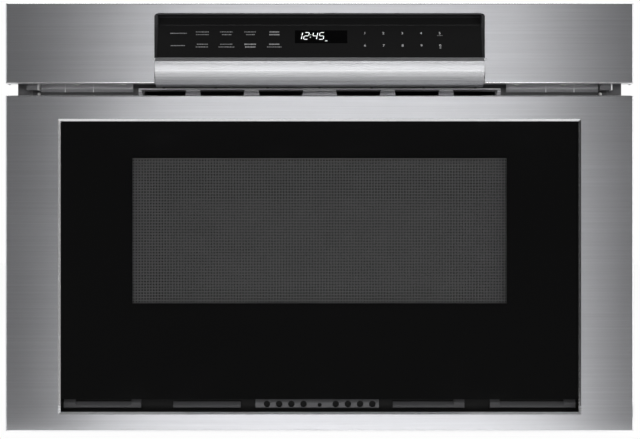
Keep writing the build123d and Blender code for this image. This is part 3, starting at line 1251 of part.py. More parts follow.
def control_housing():
    """Black moulding that carries the touch glass, its board and the lip. Its cheeks close the
    notch's sides, and a flange lies behind the notch's edge."""
    half = PANEL_HALF - TRIM
    shell = along_x(housing_outline(0), -half, half)
    cheek = along_x(housing_outline(0), half, PANEL_HALF)
    front = DOOR_FRONT + TRIM + GLASS_FIT
    cheek += block((half, PANEL_HALF), (front, TRIM_BACK), (PANEL_FRONT[1], HOUSING_TOP))
    cheek -= along_x(lip_core(), half - 1, PANEL_HALF + 1)
    shell += both_sides(cheek)
    flange = (front, front + 1.5)
    hood = block(span(0, NOTCH_HALF + COVER_FLANGE), flange, (FASCIA_LOW + 6, NOTCH_TOP + COVER_FLANGE))
    hood -= block(span(0, PANEL_HALF), (front - 1, front + 3), (FASCIA_LOW, HOUSING_TOP))
    shell += hood
    shell += block(span(0, PANEL_HALF), (front, HOUSING_CREST + 2), (HOUSING_TOP, HOUSING_TOP + 1.5))
    inside = PANEL_HALF - HOUSING_WALL
    shell -= along_x(housing_outline(HOUSING_WALL), -inside, inside)
    shell -= block(span(0, inside), (TRIM_BACK - 4, TRIM_BACK + 1), (FASCIA_LOW + 4, HOUSING_TOP - 3))
    pocket = (PANEL_ALONG[0] - 0.2, PANEL_ALONG[1] + GLASS_FIT)
    shell -= on_panel(span(0, TOUCH_GLASS_HALF + GLASS_FIT), (-1, TOUCH_GLASS), pocket)
    window = (PANEL_ALONG[0] + HOUSING_LEDGE, PANEL_ALONG[1] - HOUSING_LEDGE)
    shell -= on_panel(span(0, TOUCH_GLASS_HALF - HOUSING_LEDGE), (-1, 12), window)
    under = LIP_END[1] + TRIM
    for n in range(-3, 4):
        lug_z = (under - LUG_DROP, under + 1)
        shell += block(span(LUG_PITCH * n, 1.5), (DOOR_FRONT + 3, DOOR_FRONT + 9), lug_z)
    return shell


BOARD_DEPTH = 9.0            # control board behind the glass's face


def control_board():
    """Touch and display board behind the glass, with the display and its controller chips."""
    half = TOUCH_GLASS_HALF - HOUSING_LEDGE - 3
    rear = BOARD_DEPTH + BOARD
    board = on_panel(span(0, half), (BOARD_DEPTH, rear), span(0, PANEL_LENGTH / 2 - 8))
    board += on_panel((-29, 34), (TOUCH_GLASS + GLASS_FIT, BOARD_DEPTH), (-7, 9))
    for x in (-half + 9, half - 9):
        board += on_panel(span(x, 3), (TOUCH_GLASS, BOARD_DEPTH), (-3, 3))
    for x in (-113, 77, 132):
        board += on_panel(span(x, 7), (rear, rear + 2.4), (-7, 7))
    return board


SKIRT_X = (228.5, 341.0)     # bracket's lower skirts, which show in the gap
SKIRT_DROP = 8.7             # below the upper panel's edge
SKIRT_SEAMS = (277.0, 311.5)
EAR_X = (SKIRT_X[1] + 0.6, 356.2)    # hollow ears beside the skirts
EAR_DROP = 7.2
EAR_REACH = 16.0
BOSS_X = (250.0, 330.0)


def control_bracket():
    """Steel plate behind the upper panel that carries it and the housing, with two skirts and
    two ears that stand forward beside them."""
    y = (TRIM_BACK, DOOR_REAR)
    plate = block(span(0, FRONT_HALF - TRIM), y, (FASCIA_LOW + TRIM, FASCIA_HIGH - TRIM))
    plate -= block(span(0, PANEL_HALF - 17), (y[0] - 1, y[1] + 1), (FASCIA_LOW, FASCIA_HIGH - 21))
    low = FASCIA_LOW - SKIRT_DROP
    plate += both_sides(block(SKIRT_X, y, (low, FASCIA_LOW + 5)))
    for seam in SKIRT_SEAMS:
        plate += both_sides(block(span(seam, 0.5), (y[0] - 0.8, y[0]), (low, FASCIA_LOW + 5)))
    ear_z = (FASCIA_LOW - EAR_DROP, FASCIA_LOW + 8)
    ear = block(EAR_X, (y[0] - EAR_REACH, y[1]), ear_z)
    room = (EAR_X[0] + SHEET, EAR_X[1] - SHEET)
    ear -= block(room, (y[0] - EAR_REACH + SHEET, y[1] + 1), (ear_z[0] - 1, ear_z[1] - SHEET))
    plate += both_sides(ear)
    for x in BOSS_X:
        plate += both_sides(block(span(x, 8), (y[1], -SHEET), (FASCIA_HIGH - 52, FASCIA_HIGH - 32)))
    return plate


GRILLE_HALF = 222.0
GRILLE_Z = (FASCIA_LOW - 29.5, FASCIA_LOW - 4.2)
GRILLE_HEM = 1.2
GRILLE_REACH = 10.0          # hem ahead of the cabinet's face
GRILLE_SLOT_X = (47.5, 119.5, 191.0)
GRILLE_SLOT_HALF = (24.0, 27.5)
GRILLE_SLOT_HEIGHT = 16.5
GRILLE_PAD_HALF = 15.5       # raised pad in the middle
GRILLE_PAD_HIGH = GRILLE_Z[1] - 3.2


def vent_grille():
    """Grille over the air outlet in the gap: a hemmed strip with six tapered slots."""
    y = (-2 * SHEET, -SHEET)
    plate = block(span(0, GRILLE_HALF), y, GRILLE_Z)
    top = GRILLE_Z[1] - GRILLE_HEM
    plate += block(span(0, GRILLE_HALF - 1), (-GRILLE_REACH, y[1]), (top, GRILLE_Z[1]))
    low_half, high_half = GRILLE_SLOT_HALF
    high = top - 0.4
    low = high - GRILLE_SLOT_HEIGHT
    slot = polygon((-high_half, high), (high_half, high), (low_half, low), (-low_half, low))
    for x in GRILLE_SLOT_X:
        plate -= both_sides(along_y(Pos(x, 0) * slot, y[0] - 1, y[1] + 1))
    return plate + block(span(0, GRILLE_PAD_HALF), (y[0] - 1.5, y[0]), (low, GRILLE_PAD_HIGH))


# ---------------------------------------------------------------- fasteners
SKIRT_SCREW_X = (240.5, 298.0)
BACK_SCREW_X = (90.0, SIDE_OUT - 12.0)
BACK_SCREW_Z = 9.0


def case_screws():
    """Screws along the lid's edges, in the bracket's skirts, beside them, and in the back."""
    heads = []
    for y in (40.0, 220.0, 400.0, 560.0):
        at = (CASE_HALF, y * CASE_DEPTH / 594.0, CASE_HEIGHT - LID_EDGE / 2)
        heads += both_sides(pan_head(3.6, 1.8, at, (1, 0, 0)))
    for x in SKIRT_SCREW_X:
        heads += both_sides(pan_head(4.2, 2.2, (x, TRIM_BACK, FASCIA_LOW + 2.9), (0, -1, 0)))
    heads += both_sides(pan_head(1.9, 1.6, (SKIRT_X[1] + 3.3, -SHEET, FASCIA_LOW - 10.5), (0, -1, 0)))
    for x in BACK_SCREW_X:
        for z in (BACK_SCREW_Z, LID_LOW - BACK_SCREW_Z):
            heads += both_sides(pan_head(3.6, 1.8, (x, CASE_DEPTH, z), (0, 1, 0)))
    return group(heads)


def drawer_screws():
    """Screws that hold the drawer's arms to its front."""
    heads = []
    for z in (ARM_LOW + 12, (ARM_LOW + ARM_HIGH) / 2, ARM_HIGH - 12):
        at = (ARM_IN - ARM_FOOT / 2, DOOR_REAR + ARM_PLATE, z)
        heads += both_sides(pan_head(3.5, 1.6, at, (0, 1, 0)))
    return group(heads)


# ---------------------------------------------------------------- written out
def mirrored(make):
    return lambda: mirror(make(), about=Plane.YZ)


NODES = {
    "base_plate": base_plate,
    "right_side_panel": side_panel,
    "left_side_panel": mirrored(side_panel),
    "back_panel": back_panel,
    "top_cover": top_cover,
    "front_frame": front_frame,
    "cord_gland": cord_gland,
    "oven_cavity": oven_cavity,
    "cavity_support": cavity_support,
    "stirrer_cover": stirrer_cover,
    "stirrer": stirrer,
    "stirrer_motor": stirrer_motor,
    "waveguide": waveguide,
    "magnetron_yoke": magnetron_yoke,
    "magnetron_body": magnetron_body,
    "transformer_core": transformer_core,
    "transformer_windings": transformer_windings,
    "hv_capacitor": hv_capacitor,
    "power_board": power_board,
    "oven_lamp": oven_lamp,
    "thermal_cutouts": thermal_cutouts,
    "fan_shroud": fan_shroud,
    "fan_motor": fan_motor,
    "fan_blade": fan_blade,
    "exhaust_duct": exhaust_duct,
    "racks": racks,
    "rack_pinions": rack_pinions,
    "cross_shaft": cross_shaft,
    "shaft_bearings": shaft_bearings,
    "drive_gear": drive_gear,
    "motor_pinion": motor_pinion,
    "motor_bracket": motor_bracket,
    "drive_motor": drive_motor,
    "outer_rails": outer_rails,
    "right_middle_rail": middle_rail,
    "left_middle_rail": mirrored(middle_rail),
    "inner_rails": inner_rails,
    "rail_mounts": rail_mounts,
    "drawer_arms": drawer_arms,
    "latch_hooks": latch_hooks,
    "interlock_switches": interlock_switches,
    "door_trim": door_trim,
    "door_glass": door_glass,
    "door_screen": door_screen,
    "door_choke_frame": door_choke_frame,
    "choke_cover": choke_cover,
    "door_inner_glass": door_inner_glass,
    "door_back_panel": door_back_panel,
    "lower_vent_strip": lower_vent_strip,
    "drawer_box": drawer_box,
    "ceramic_shelf": ceramic_shelf,
    "control_fascia": control_fascia,
    "control_lip": control_lip,
    "control_glass": control_glass,
    "control_housing": control_housing,
    "control_board": control_board,
    "control_bracket": control_bracket,
    "vent_grille": vent_grille,
    "case_screws": case_screws,
    "drawer_screws": drawer_screws,
}

os.makedirs("parts", exist_ok=True)
for name, make in NODES.items():
    export_step(Pos(0, FACE_Y, 0) * group(make()), f"parts/{name}.step")
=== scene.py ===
import math
import random

import bmesh
import bpy
from mathutils import Matrix, Vector


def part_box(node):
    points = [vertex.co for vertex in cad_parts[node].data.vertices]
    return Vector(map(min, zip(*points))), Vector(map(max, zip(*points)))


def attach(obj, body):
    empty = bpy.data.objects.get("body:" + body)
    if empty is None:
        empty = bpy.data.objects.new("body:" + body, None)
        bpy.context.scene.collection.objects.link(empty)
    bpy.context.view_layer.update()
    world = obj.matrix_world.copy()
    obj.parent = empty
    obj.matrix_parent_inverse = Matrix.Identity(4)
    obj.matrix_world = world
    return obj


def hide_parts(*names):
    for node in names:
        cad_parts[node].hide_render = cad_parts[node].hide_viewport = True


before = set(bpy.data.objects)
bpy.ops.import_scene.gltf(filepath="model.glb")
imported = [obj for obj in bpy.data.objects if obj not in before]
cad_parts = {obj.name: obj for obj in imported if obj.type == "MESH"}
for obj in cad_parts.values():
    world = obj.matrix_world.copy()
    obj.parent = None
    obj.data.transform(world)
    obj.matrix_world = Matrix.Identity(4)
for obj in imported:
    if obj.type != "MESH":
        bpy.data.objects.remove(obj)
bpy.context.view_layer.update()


# ---- Studio ----
# A plain pale floor and a white backdrop, seen straight from the front. A lamp above the camera and
# two low ones light the middle of the brushed steel, wide ones light its sides and the lid, and the
# room in front stays dark, because the black glass mirrors it.
MM = 0.001
scene = bpy.context.scene
scene.view_settings.view_transform = "Standard"


class Value:
    """An output socket that takes part in sums, each of which adds its Math node."""

    def __init__(self, nodes, output):
        self.nodes = nodes
        self.output = output

    def maths(self, operation, *terms):
        return self.nodes.node("ShaderNodeMath", terms, operation=operation)

    def __add__(self, other):
        return self.maths("ADD", self, other)

    def __sub__(self, other):
        return self.maths("SUBTRACT", self, other)

    def __rsub__(self, other):
        return self.maths("SUBTRACT", other, self)

    def __mul__(self, other):
        return self.maths("MULTIPLY", self, other)

    __radd__ = __add__
    __rmul__ = __mul__

    def smaller(self, other):
        return self.maths("MINIMUM", self, other)

    def larger(self, other):
        return self.maths("MAXIMUM", self, other)

    def size(self):
        return self.maths("ABSOLUTE", self)

    def between(self, low, high):
        """0 below low and 1 above high, with a smooth rise; high may be the lower of the two."""
        inputs = (self, low, high, 0.0, 1.0)
        return self.nodes.node("ShaderNodeMapRange", inputs, interpolation_type="SMOOTHSTEP")

    def within(self, low, high, soft):
        """1 from low to high, with soft edges whose middles are there."""
        return self.between(low - soft, low + soft) * self.between(high + soft, high - soft)

    def wave(self, pitch):
        """A rounded ripple from 0 to 1, one for each pitch."""
        return self.maths("SINE", self * (2 * math.pi / pitch)) * 0.5 + 0.5


class Nodes:
    """A node tree that is written as Python expressions."""

    def __init__(self, tree):
        self.tree = tree

    def node(self, kind, inputs=(), output=0, **settings):
        """A new node, set and fed: its output, or a list of them where output is a tuple."""
        made = self.tree.nodes.new(kind)
        for name, setting in settings.items():
            setattr(made, name, setting)
        named = inputs.items() if isinstance(inputs, dict) else enumerate(inputs)
        for key, term in named:
            self.feed(made.inputs[key], term)
        if isinstance(output, tuple):
            return [Value(self, made.outputs[key]) for key in output]
        return Value(self, made.outputs[output])

    def feed(self, socket, term):
        """Gives a socket a value, a link, or a list of links where it takes several."""
        if isinstance(term, list):
            for part in term:
                self.feed(socket, part)
        elif isinstance(term, Value):
            self.tree.links.new(term.output, socket)
        elif isinstance(term, tuple) and socket.type == "RGBA" and len(term) == 3:
            socket.default_value = (*term, 1)
        else:
            socket.default_value = term

    def blend(self, factor, first, second):
        """Two colours mixed by a factor."""
        inputs = {0: factor, 6: first, 7: second}
        return self.node("ShaderNodeMix", inputs, 2, data_type="RGBA")


class Finish(Nodes):
    """A material in real sizes. What varies over it feeds colour, metal, roughness, alpha, bump."""

    def __init__(self, name, fixed):
        self.material = bpy.data.materials.new(name)
        self.material.use_nodes = True
        super().__init__(self.material.node_tree)
        self.shader = self.tree.nodes["Principled BSDF"]
        for socket, amount in fixed.items():
            self.shader.inputs[socket].default_value = amount
        self.place = self.node("ShaderNodeTexCoord", output="Object")

    def set(self, **terms):
        for name, term in terms.items():
            self.feed(self.shader.inputs[name.replace("_", " ").title()], term)
        return self

    def tint(self, factor, dark, light):
        """Sets the base colour to a mix of two."""
        return self.set(base_color=self.blend(factor, dark, light))

    def axes(self):
        """The three coordinates of the surface, in metres."""
        return self.node("ShaderNodeSeparateXYZ", (self.place,), (0, 1, 2))

    def axis(self, name):
        return self.axes()["XYZ".index(name)]

    def grains(self, size):
        """The place in grains, whose size along X, Y and Z, or every way, is in millimetres."""
        sizes = size if isinstance(size, tuple) else (size, size, size)
        scale = tuple(1000 / length for length in sizes)
        return self.node("ShaderNodeMapping", {"Vector": self.place, "Scale": scale})

    def noise(self, size, detail=2.0, rough=0.5):
        """Soft noise from 0 to 1."""
        place = self.grains(size)
        inputs = {"Vector": place, "Scale": 1.0, "Detail": detail, "Roughness": rough}
        return self.node("ShaderNodeTexNoise", inputs)

    def cells(self, size, feature="F1", output="Color", jitter=1.0):
        """Cells: a shade for each, or the distance from its middle."""
        inputs = {"Vector": self.grains(size), "Scale": 1.0, "Randomness": jitter}
        shade = self.node("ShaderNodeTexVoronoi", inputs, output, feature=feature)
        if output == "Color":
            return self.node("ShaderNodeSeparateXYZ", (shade,), 0)
        return shade

    def relief(self, height, depth):
        """Bump whose height runs from 0 to 1, with its real depth in millimetres."""
        inputs = {"Strength": 1.0, "Distance": depth * MM, "Height": height}
        return self.set(Normal=self.node("ShaderNodeBump", inputs))

    def rubbed_edges(self, node, reach):
        """1 along the edges of a node's box, fading over reach millimetres, broken by noise."""
        sides = zip(self.axes(), *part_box(node))
        x, y, z = [(here - low).smaller(high - here) for here, low, high in sides]
        second = x.smaller(y).larger(x.larger(y).smaller(z))
        broken = self.noise(14, 4.0, 0.65).between(0.42, 0.62)
        return second.between(reach * MM, 0.0) * broken


floor_paint = Finish("floor_paint", {"Roughness": 0.85})
floor_shade = floor_paint.noise(900, 1.0)
floor_paint.tint(floor_shade, (0.8, 0.8, 0.8), (0.83, 0.83, 0.83))


def plain_rays(nodes):
    """1 for the rays that show the backdrop: the camera's, and those of gloss and glass."""
    kinds = ("Is Camera Ray", "Is Glossy Ray", "Is Transmission Ray")
    camera_ray, glossy, through = nodes.node("ShaderNodeLightPath", output=kinds)
    return camera_ray.larger(glossy.larger(through))


FLOOR_WHITE = 1.09           # as the camera sees it
FLOOR_PLAIN = 0.86           # the share that is plain white; the rest shows the oven's shadow
plain_white = floor_paint.node("ShaderNodeEmission", {"Color": (1, 1, 1), "Strength": FLOOR_WHITE})
shaded = Value(floor_paint, floor_paint.shader.outputs[0])
plain_share = plain_rays(floor_paint) * FLOOR_PLAIN
floor_mix = floor_paint.node("ShaderNodeMixShader", (plain_share, shaded, plain_white))
floor_paint.feed(floor_paint.tree.nodes["Material Output"].inputs["Surface"], floor_mix)

FLOOR_SIDE = 9.0
FLOOR_FRONT = 0.32           # just before the closed drawer, so that the low lamps reach it
floor_mesh = bpy.data.meshes.new("studio_floor")
corners = [(-FLOOR_SIDE, -FLOOR_FRONT, 0), (FLOOR_SIDE, -FLOOR_FRONT, 0)]
corners += [(x, FLOOR_SIDE, 0) for x in (FLOOR_SIDE, -FLOOR_SIDE)]
floor_mesh.from_pydata(corners, [], [(0, 1, 2, 3)])
floor_mesh.materials.append(floor_paint.material)
floor = bpy.data.objects.new("studio_floor", floor_mesh)
scene.collection.objects.link(floor)

world = bpy.data.worlds.new("studio_wall")
scene.world = world
world.use_nodes = True
walls = Nodes(world.node_tree)
facing = walls.node("ShaderNodeTexCoord", output="Generated")
sideways, ahead, upward = walls.node("ShaderNodeSeparateXYZ", (facing,), (0, 1, 2))
# How white the room is in each direction. The camera sees all of it as white.
before_oven = ahead.between(0.25, -0.25)
on_the_right, on_the_left = sideways.between(0.3, 0.7), sideways.between(-0.3, -0.8)
underneath, straight_down = upward.between(-0.45, -0.75), upward.between(-0.88, -0.97)
wall_light = (
    0.45 - 0.4 * before_oven + 0.15 * on_the_right - 0.09 * on_the_left
    + 0.05 * underneath + 0.6 * straight_down)
seen_wall = ahead.between(0.1, 0.6) * (1.0 - 0.8 * on_the_left) * plain_rays(walls)
seen_white = walls.node("ShaderNodeLightPath", output="Is Camera Ray").larger(seen_wall)
background = world.node_tree.nodes["Background"].inputs
walls.feed(background["Color"], (1.0, 1.0, 1.0))
walls.feed(background["Strength"], wall_light + seen_white * (1.0 - wall_light))

CAMERA_DISTANCE = 2.4
CAMERA_HEIGHT = 0.26
CAMERA_SHIFT = 0.0006
LENS = 111.7
SENSOR = 36.0
camera_data = bpy.data.cameras.new("photo_camera")
camera_data.lens = LENS
camera_data.sensor_width = SENSOR
camera_data.shift_x = CAMERA_SHIFT
camera = bpy.data.objects.new("photo_camera", camera_data)
scene.collection.objects.link(camera)
front_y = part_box("door_trim")[0].y
camera.location = (0.0, front_y - CAMERA_DISTANCE, CAMERA_HEIGHT)
camera.rotation_euler = (math.pi / 2, 0, 0)
scene.camera = camera


def soft_lamp(name, place, target, size, power):
    """A rectangular soft box that faces a point on the oven, in metres and watts."""
    data = bpy.data.lights.new(name, "AREA")
    data.shape = "RECTANGLE"
    data.size, data.size_y = size
    data.energy = power
    lamp = bpy.data.objects.new(name, data)
    scene.collection.objects.link(lamp)
    lamp.location = place
    lamp.rotation_euler = (Vector(target) - Vector(place)).to_track_quat("-Z", "Y").to_euler()


soft_lamp("by_camera", (0.04, -2.75, 0.75), (0.04, -0.3, 0.3), (1.02, 0.34), 6.7)
soft_lamp("low_front", (0.03, -1.8, -0.38), (0.03, -0.3, 0.15), (1.0, 0.5), 5.7)
soft_lamp("under_front", (0.04, -0.85, -0.55), (0.04, -0.3, 0.42), (1.5, 0.3), 0.6)
soft_lamp("left_side", (-1.9, -2.0, 0.45), (0, -0.3, 0.3), (1.8, 1.5), 16)
soft_lamp("right_side", (2.3, -1.8, 0.42), (0, -0.3, 0.3), (2.2, 1.7), 31)
soft_lamp("ceiling", (0.0, 0.4, 2.6), (0, 0.4, 0.3), (3.4, 2.0), 21)


# ---- Upper panel and drawer surround ----
# Both are folded from 1.2 mm stainless sheet with a horizontal brushed grain. The grain is long
# fine scratches across the whole width, a little uneven from one band to the next.
def dress(name, finish):
    """Gives a CAD node its finish."""
    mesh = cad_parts[name].data
    mesh.materials.clear()
    mesh.materials.append(finish.material)


def brushed(name, dark, light, roughness, anisotropy=0.95, depth=0.012, patch=None):
    """Stainless sheet with its grain along X, which spreads light up and down."""
    finish = Finish(
        name, {"Metallic": 0.93, "Anisotropic": anisotropy, "Anisotropic Rotation": 0.25})
    finish.set(Tangent=finish.node("ShaderNodeCombineXYZ", (1.0, 0.0, 0.0)))
    bands = finish.noise((420, 30, 2.4), 3.0, 0.6)
    scratches = finish.noise((95, 6, 0.34), 3.0, 0.65)
    fine = finish.noise((24, 2, 0.13), 2.0, 0.5)
    patches = finish.noise((160, 90, 120), 2.0)
    grain = bands * 0.45 + scratches * 0.35 + fine * 0.2
    tone = grain * 0.8 + patches * 0.2
    colour = finish.blend(tone.between(0.3, 0.7), dark, light)
    rough = roughness + 0.1 * (scratches - 0.5) + 0.05 * (patches - 0.5)
    if patch:
        colour, rough = patch(finish, colour, rough)
    finish.set(base_color=colour, roughness=rough)
    return finish.relief(scratches * 0.6 + fine * 0.4, depth)


FOLD_FROM = (0.01 * MM, 0.06 * MM)       # behind the front's plane
FOLD_DEPTH = 8.0 * MM        # as far back as the polish and painted highlight go
END_SHADE_STRIP = 1.4 * MM         # strip at each end of a fold, painted darker as painted shade
FADE = 0.5 * MM
SHADED_SLOPE_Z = (21.0 * MM, 35.0 * MM)         # the slope under the glass, painted darker as painted shade
SHADED_SLOPE_SOFT = 1.0 * MM
NOTCH_HALF = 200.0 * MM
NOTCH_SOFT = 2.0 * MM
NOTCH_ABOVE = 2.5 * MM       # from the panel's lower edge up
NOTCH_BELOW = 17.5 * MM      # from its upper edge down


def polished_folds_with_painted_light(finish, colour, rough):
    """Folds and cut slopes behind the front's plane are polished and painted lighter as a painted
    highlight;
    their ends, the left more than the right, and the slope under the glass are painted darker as
    painted shade, and the notch for the controls is painted near black as a painted shadow."""
    (_, face, _), (end, _, _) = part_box("door_trim")
    x, y, z = finish.axes()
    behind = y.between(*(face + depth for depth in FOLD_FROM))
    left_end_shade = x.between(END_SHADE_STRIP + FADE - end, END_SHADE_STRIP - end)
    right_end_shade = x.between(end - END_SHADE_STRIP - FADE, end - END_SHADE_STRIP)
    fold_polish_and_highlight = behind * y.between(face + FOLD_DEPTH + FADE, face + FOLD_DEPTH)
    # Painted shade: the fold's ends, the left more than the right, and the slope under the glass
    # are darker.
    fold_polish_and_highlight = fold_polish_and_highlight * (1.0 - 0.8 * left_end_shade - 0.4 * right_end_shade)
    fold_polish_and_highlight = fold_polish_and_highlight * (1.0 - 0.65 * z.within(*SHADED_SLOPE_Z, SHADED_SLOPE_SOFT))
    panel_low, panel_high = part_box("control_fascia")
    # Painted shadow: the sides of the notch for the controls are near black.
    notch_shadow = x.size().between(NOTCH_HALF + NOTCH_SOFT, NOTCH_HALF) * behind
    notch_shadow = notch_shadow * z.within(panel_low.z + NOTCH_ABOVE, panel_high.z - NOTCH_BELOW, FADE)
    # Painted highlight: the folds are lighter, besides being less rough.
    colour = finish.blend(fold_polish_and_highlight, colour, (0.95, 0.95, 0.96))
    return finish.blend(notch_shadow, colour, (0.06, 0.06, 0.06)), rough - fold_polish_and_highlight * 0.2


front_steel = brushed(
    "front_steel", (0.52, 0.523, 0.545), (0.64, 0.643, 0.67), 0.345, patch=polished_folds_with_painted_light)
for front in ("control_fascia", "door_trim"):
    dress(front, front_steel)


# ---- Drawer glass ----
# A 4 mm pane with a ground edge. Black enamel is baked on its back all round a clear window, so
# the pane is opaque there and lets the screen show through in the middle.
WINDOW_X = (-226.9 * MM, 226.9 * MM)
WINDOW_Z = (158.4 * MM, 334.5 * MM)
PRINT_EDGE = 0.35 * MM


def printed_window(finish, across, height):
    """1 inside a rectangle in X and Z that the print leaves clear."""
    x, _, z = finish.axes()
    return x.within(*across, PRINT_EDGE) * z.within(*height, PRINT_EDGE)


pane = Finish("enamelled_glass", {"IOR": 1.5, "Specular IOR Level": 0.5})
clear = printed_window(pane, WINDOW_X, WINDOW_Z)
print_shade = pane.noise((260, 20, 180), 2.0)
pane.tint(print_shade, (0.003, 0.003, 0.0031), (0.0042, 0.0042, 0.0043))
wiped = pane.noise((60, 20, 34), 3.0, 0.6)
pane.set(roughness=0.035 + 0.035 * wiped.between(0.45, 0.8), alpha=1.0 - 0.7 * clear)
dress("door_glass", pane)


# ---- Screen behind the window ----
# A thin steel sheet punched with a square grid of small holes, painted dark grey. It keeps the
# microwaves in and shows as a faint weave of lines through the glass.
SCREEN_PITCH = 3.5 * MM
SCREEN_HOLE = 0.56           # of the pitch
SCREEN_SHEET = 0.5 * MM
SCREEN_BACK = 0.02 * MM      # before the back of the drawn sheet
WELD = 0.02 * MM             # points closer than this become one


class Pattern(Nodes):
    """A geometry tree with named sizes that turns a mesh into a plain new one."""

    def __init__(self, name):
        super().__init__(bpy.data.node_groups.new(name, "GeometryNodeTree"))
        self.sockets = {}
        for way in ("INPUT", "OUTPUT"):
            self.tree.interface.new_socket(
                name="Geometry", in_out=way, socket_type="NodeSocketGeometry")
        self.given = self.node("NodeGroupInput", output="Geometry")
        self.start = self.given.output.node

    def size(self, name, kind="Float"):
        """A named input of the tree."""
        socket = self.tree.interface.new_socket(
            name=name, in_out="INPUT", socket_type="NodeSocket" + kind)
        self.sockets[name] = socket.identifier
        return Value(self, self.start.outputs[name])

    def attribute(self, name, kind="FLOAT"):
        """A value that each point of the given mesh carries."""
        return self.node("GeometryNodeInputNamedAttribute", {"Name": name}, data_type=kind)

    def end(self, geometry):
        """Closes the tree: instances made real, and the finish set."""
        real = self.node("GeometryNodeRealizeInstances", (geometry,))
        finish = self.size("Finish", "Material")
        finished = self.node("GeometryNodeSetMaterial", {"Geometry": real, "Material": finish})
        self.node("NodeGroupOutput", {"Geometry": finished}, ())

    def mesh(self, name, base, **sizes):
        """The tree's result on a base mesh, as a plain mesh."""
        carrier = bpy.data.objects.new(name, base)
        scene.collection.objects.link(carrier)
        modifier = carrier.modifiers.new(name, "NODES")
        modifier.node_group = self.tree
        for size_name, amount in sizes.items():
            modifier[self.sockets[size_name]] = amount
        graph = bpy.context.evaluated_depsgraph_get()
        made = bpy.data.meshes.new_from_object(carrier.evaluated_get(graph), depsgraph=graph)
        carrier.modifiers.remove(modifier)
        bpy.data.objects.remove(carrier)
        return made


def seat(name, mesh, body, finish=None):
    """Links a finished mesh as a piece of the oven that moves with a body."""
    piece = bpy.data.objects.new(name, mesh)
    scene.collection.objects.link(piece)
    if finish:
        mesh.materials.clear()
        mesh.materials.append(finish.material)
    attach(piece, body)
    return piece


punched = Pattern("punched_sheet")
pitch = punched.size("Pitch")
columns, rows = punched.size("Columns", "Int"), punched.size("Rows", "Int")
cell = punched.node("GeometryNodeMeshGrid", (pitch, pitch, 2, 2))
ring, top = punched.node(
    "GeometryNodeExtrudeMesh", {"Mesh": cell, "Offset Scale": 0.0}, ("Mesh", "Top"))
shrunk = punched.node(
    "GeometryNodeScaleElements",
    {"Geometry": ring, "Selection": top, "Scale": punched.size("Hole")})
cut = punched.node(
    "GeometryNodeDeleteGeometry", {"Geometry": shrunk, "Selection": top}, domain="FACE")
span_x, span_y = pitch * (columns - 1.0), pitch * (rows - 1.0)
field = punched.node("GeometryNodeMeshGrid", (span_x, span_y, columns, rows))
copies = punched.node("GeometryNodeInstanceOnPoints", {"Points": field, "Instance": cut})
sheet = punched.node("GeometryNodeRealizeInstances", (copies,))


def welded(geometry):
    """The same with its points merged where they meet."""
    inputs = {"Geometry": geometry, "Distance": WELD}
    return punched.node("GeometryNodeMergeByDistance", inputs)


flat = welded(sheet)
thick = punched.node(
    "GeometryNodeExtrudeMesh",
    {"Mesh": flat, "Offset Scale": punched.size("Sheet"), "Individual": False})
under = punched.node("GeometryNodeFlipFaces", (flat,))
both = punched.node("GeometryNodeJoinGeometry", ([thick, under],))
punched.end(welded(both))

screen_paint = Finish("screen_paint", {"Metallic": 0.2})
screen_shade = screen_paint.noise((30, 5, 30), 3.0, 0.6)
screen_paint.tint(screen_shade, (0.3, 0.3, 0.305), (0.38, 0.38, 0.385))
screen_paint.set(roughness=0.5 + 0.15 * screen_shade)
screen_paint.relief(screen_paint.noise(0.8, 2.0), 0.01)

screen_low, screen_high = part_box("door_screen")
screen_size = screen_high - screen_low
screen_mesh = punched.mesh(
    "window_screen", bpy.data.meshes.new("screen_start"), Pitch=SCREEN_PITCH,
    Columns=int(screen_size.x / SCREEN_PITCH), Rows=int(screen_size.z / SCREEN_PITCH),
    Hole=SCREEN_HOLE, Sheet=SCREEN_SHEET, Finish=screen_paint.material)
screen_middle = (screen_low + screen_high) / 2
screen_middle.y = screen_high.y - SCREEN_BACK
screen_mesh.transform(Matrix.Translation(screen_middle) @ Matrix.Rotation(math.pi / 2, 4, "X"))
window_screen = seat("window_screen", screen_mesh, "drawer")
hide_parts("door_screen")


# ---- Choke frame, its cover, the inner glass and the back panel ----
# A deep steel channel with slotted fins goes round the window, closed towards the oven by a black
# plastic ring. The back panel is a black painted pan that stiffens the drawer front.
def painted(name, node, dark, light, roughness):
    """Baked paint on sheet steel: orange peel, dust, and bare metal rubbed through at the edges."""
    finish = Finish(name, {"Coat Weight": 0.15, "Coat Roughness": 0.3})
    cloudy = finish.noise(70, 3.0, 0.6)
    dust = finish.noise(5, 4.0, 0.7).between(0.55, 0.78)
    colour = finish.blend(cloudy, dark, light)
    colour = finish.blend(dust * 0.12, colour, (0.3, 0.29, 0.28))
    wear_and_highlight = finish.rubbed_edges(node, 1.6)
    colour = finish.blend(wear_and_highlight * 0.55, colour, (0.45, 0.45, 0.46))
    rough = roughness + 0.12 * (cloudy - 0.5) + 0.1 * dust
    finish.set(base_color=colour, metallic=wear_and_highlight * 0.5, roughness=rough)
    return finish.relief(finish.noise(1.6, 2.0, 0.4), 0.02)


def moulded(name, dark, light, roughness, texture=0.35, gloss=0.45, patch=None):
    """Injection moulded plastic: a fine spark texture with slight flow marks."""
    finish = Finish(name, {"IOR": 1.5, "Specular IOR Level": gloss})
    flow = finish.noise((85, 40, 30), 3.0, 0.55)
    spark = finish.noise(texture, 2.0, 0.6)
    colour = finish.blend(flow, dark, light)
    if patch:
        colour = patch(finish, colour)
    rough = roughness + 0.1 * (flow - 0.5) + 0.12 * (spark - 0.5)
    finish.set(base_color=colour, roughness=rough)
    return finish.relief(spark, 0.015)


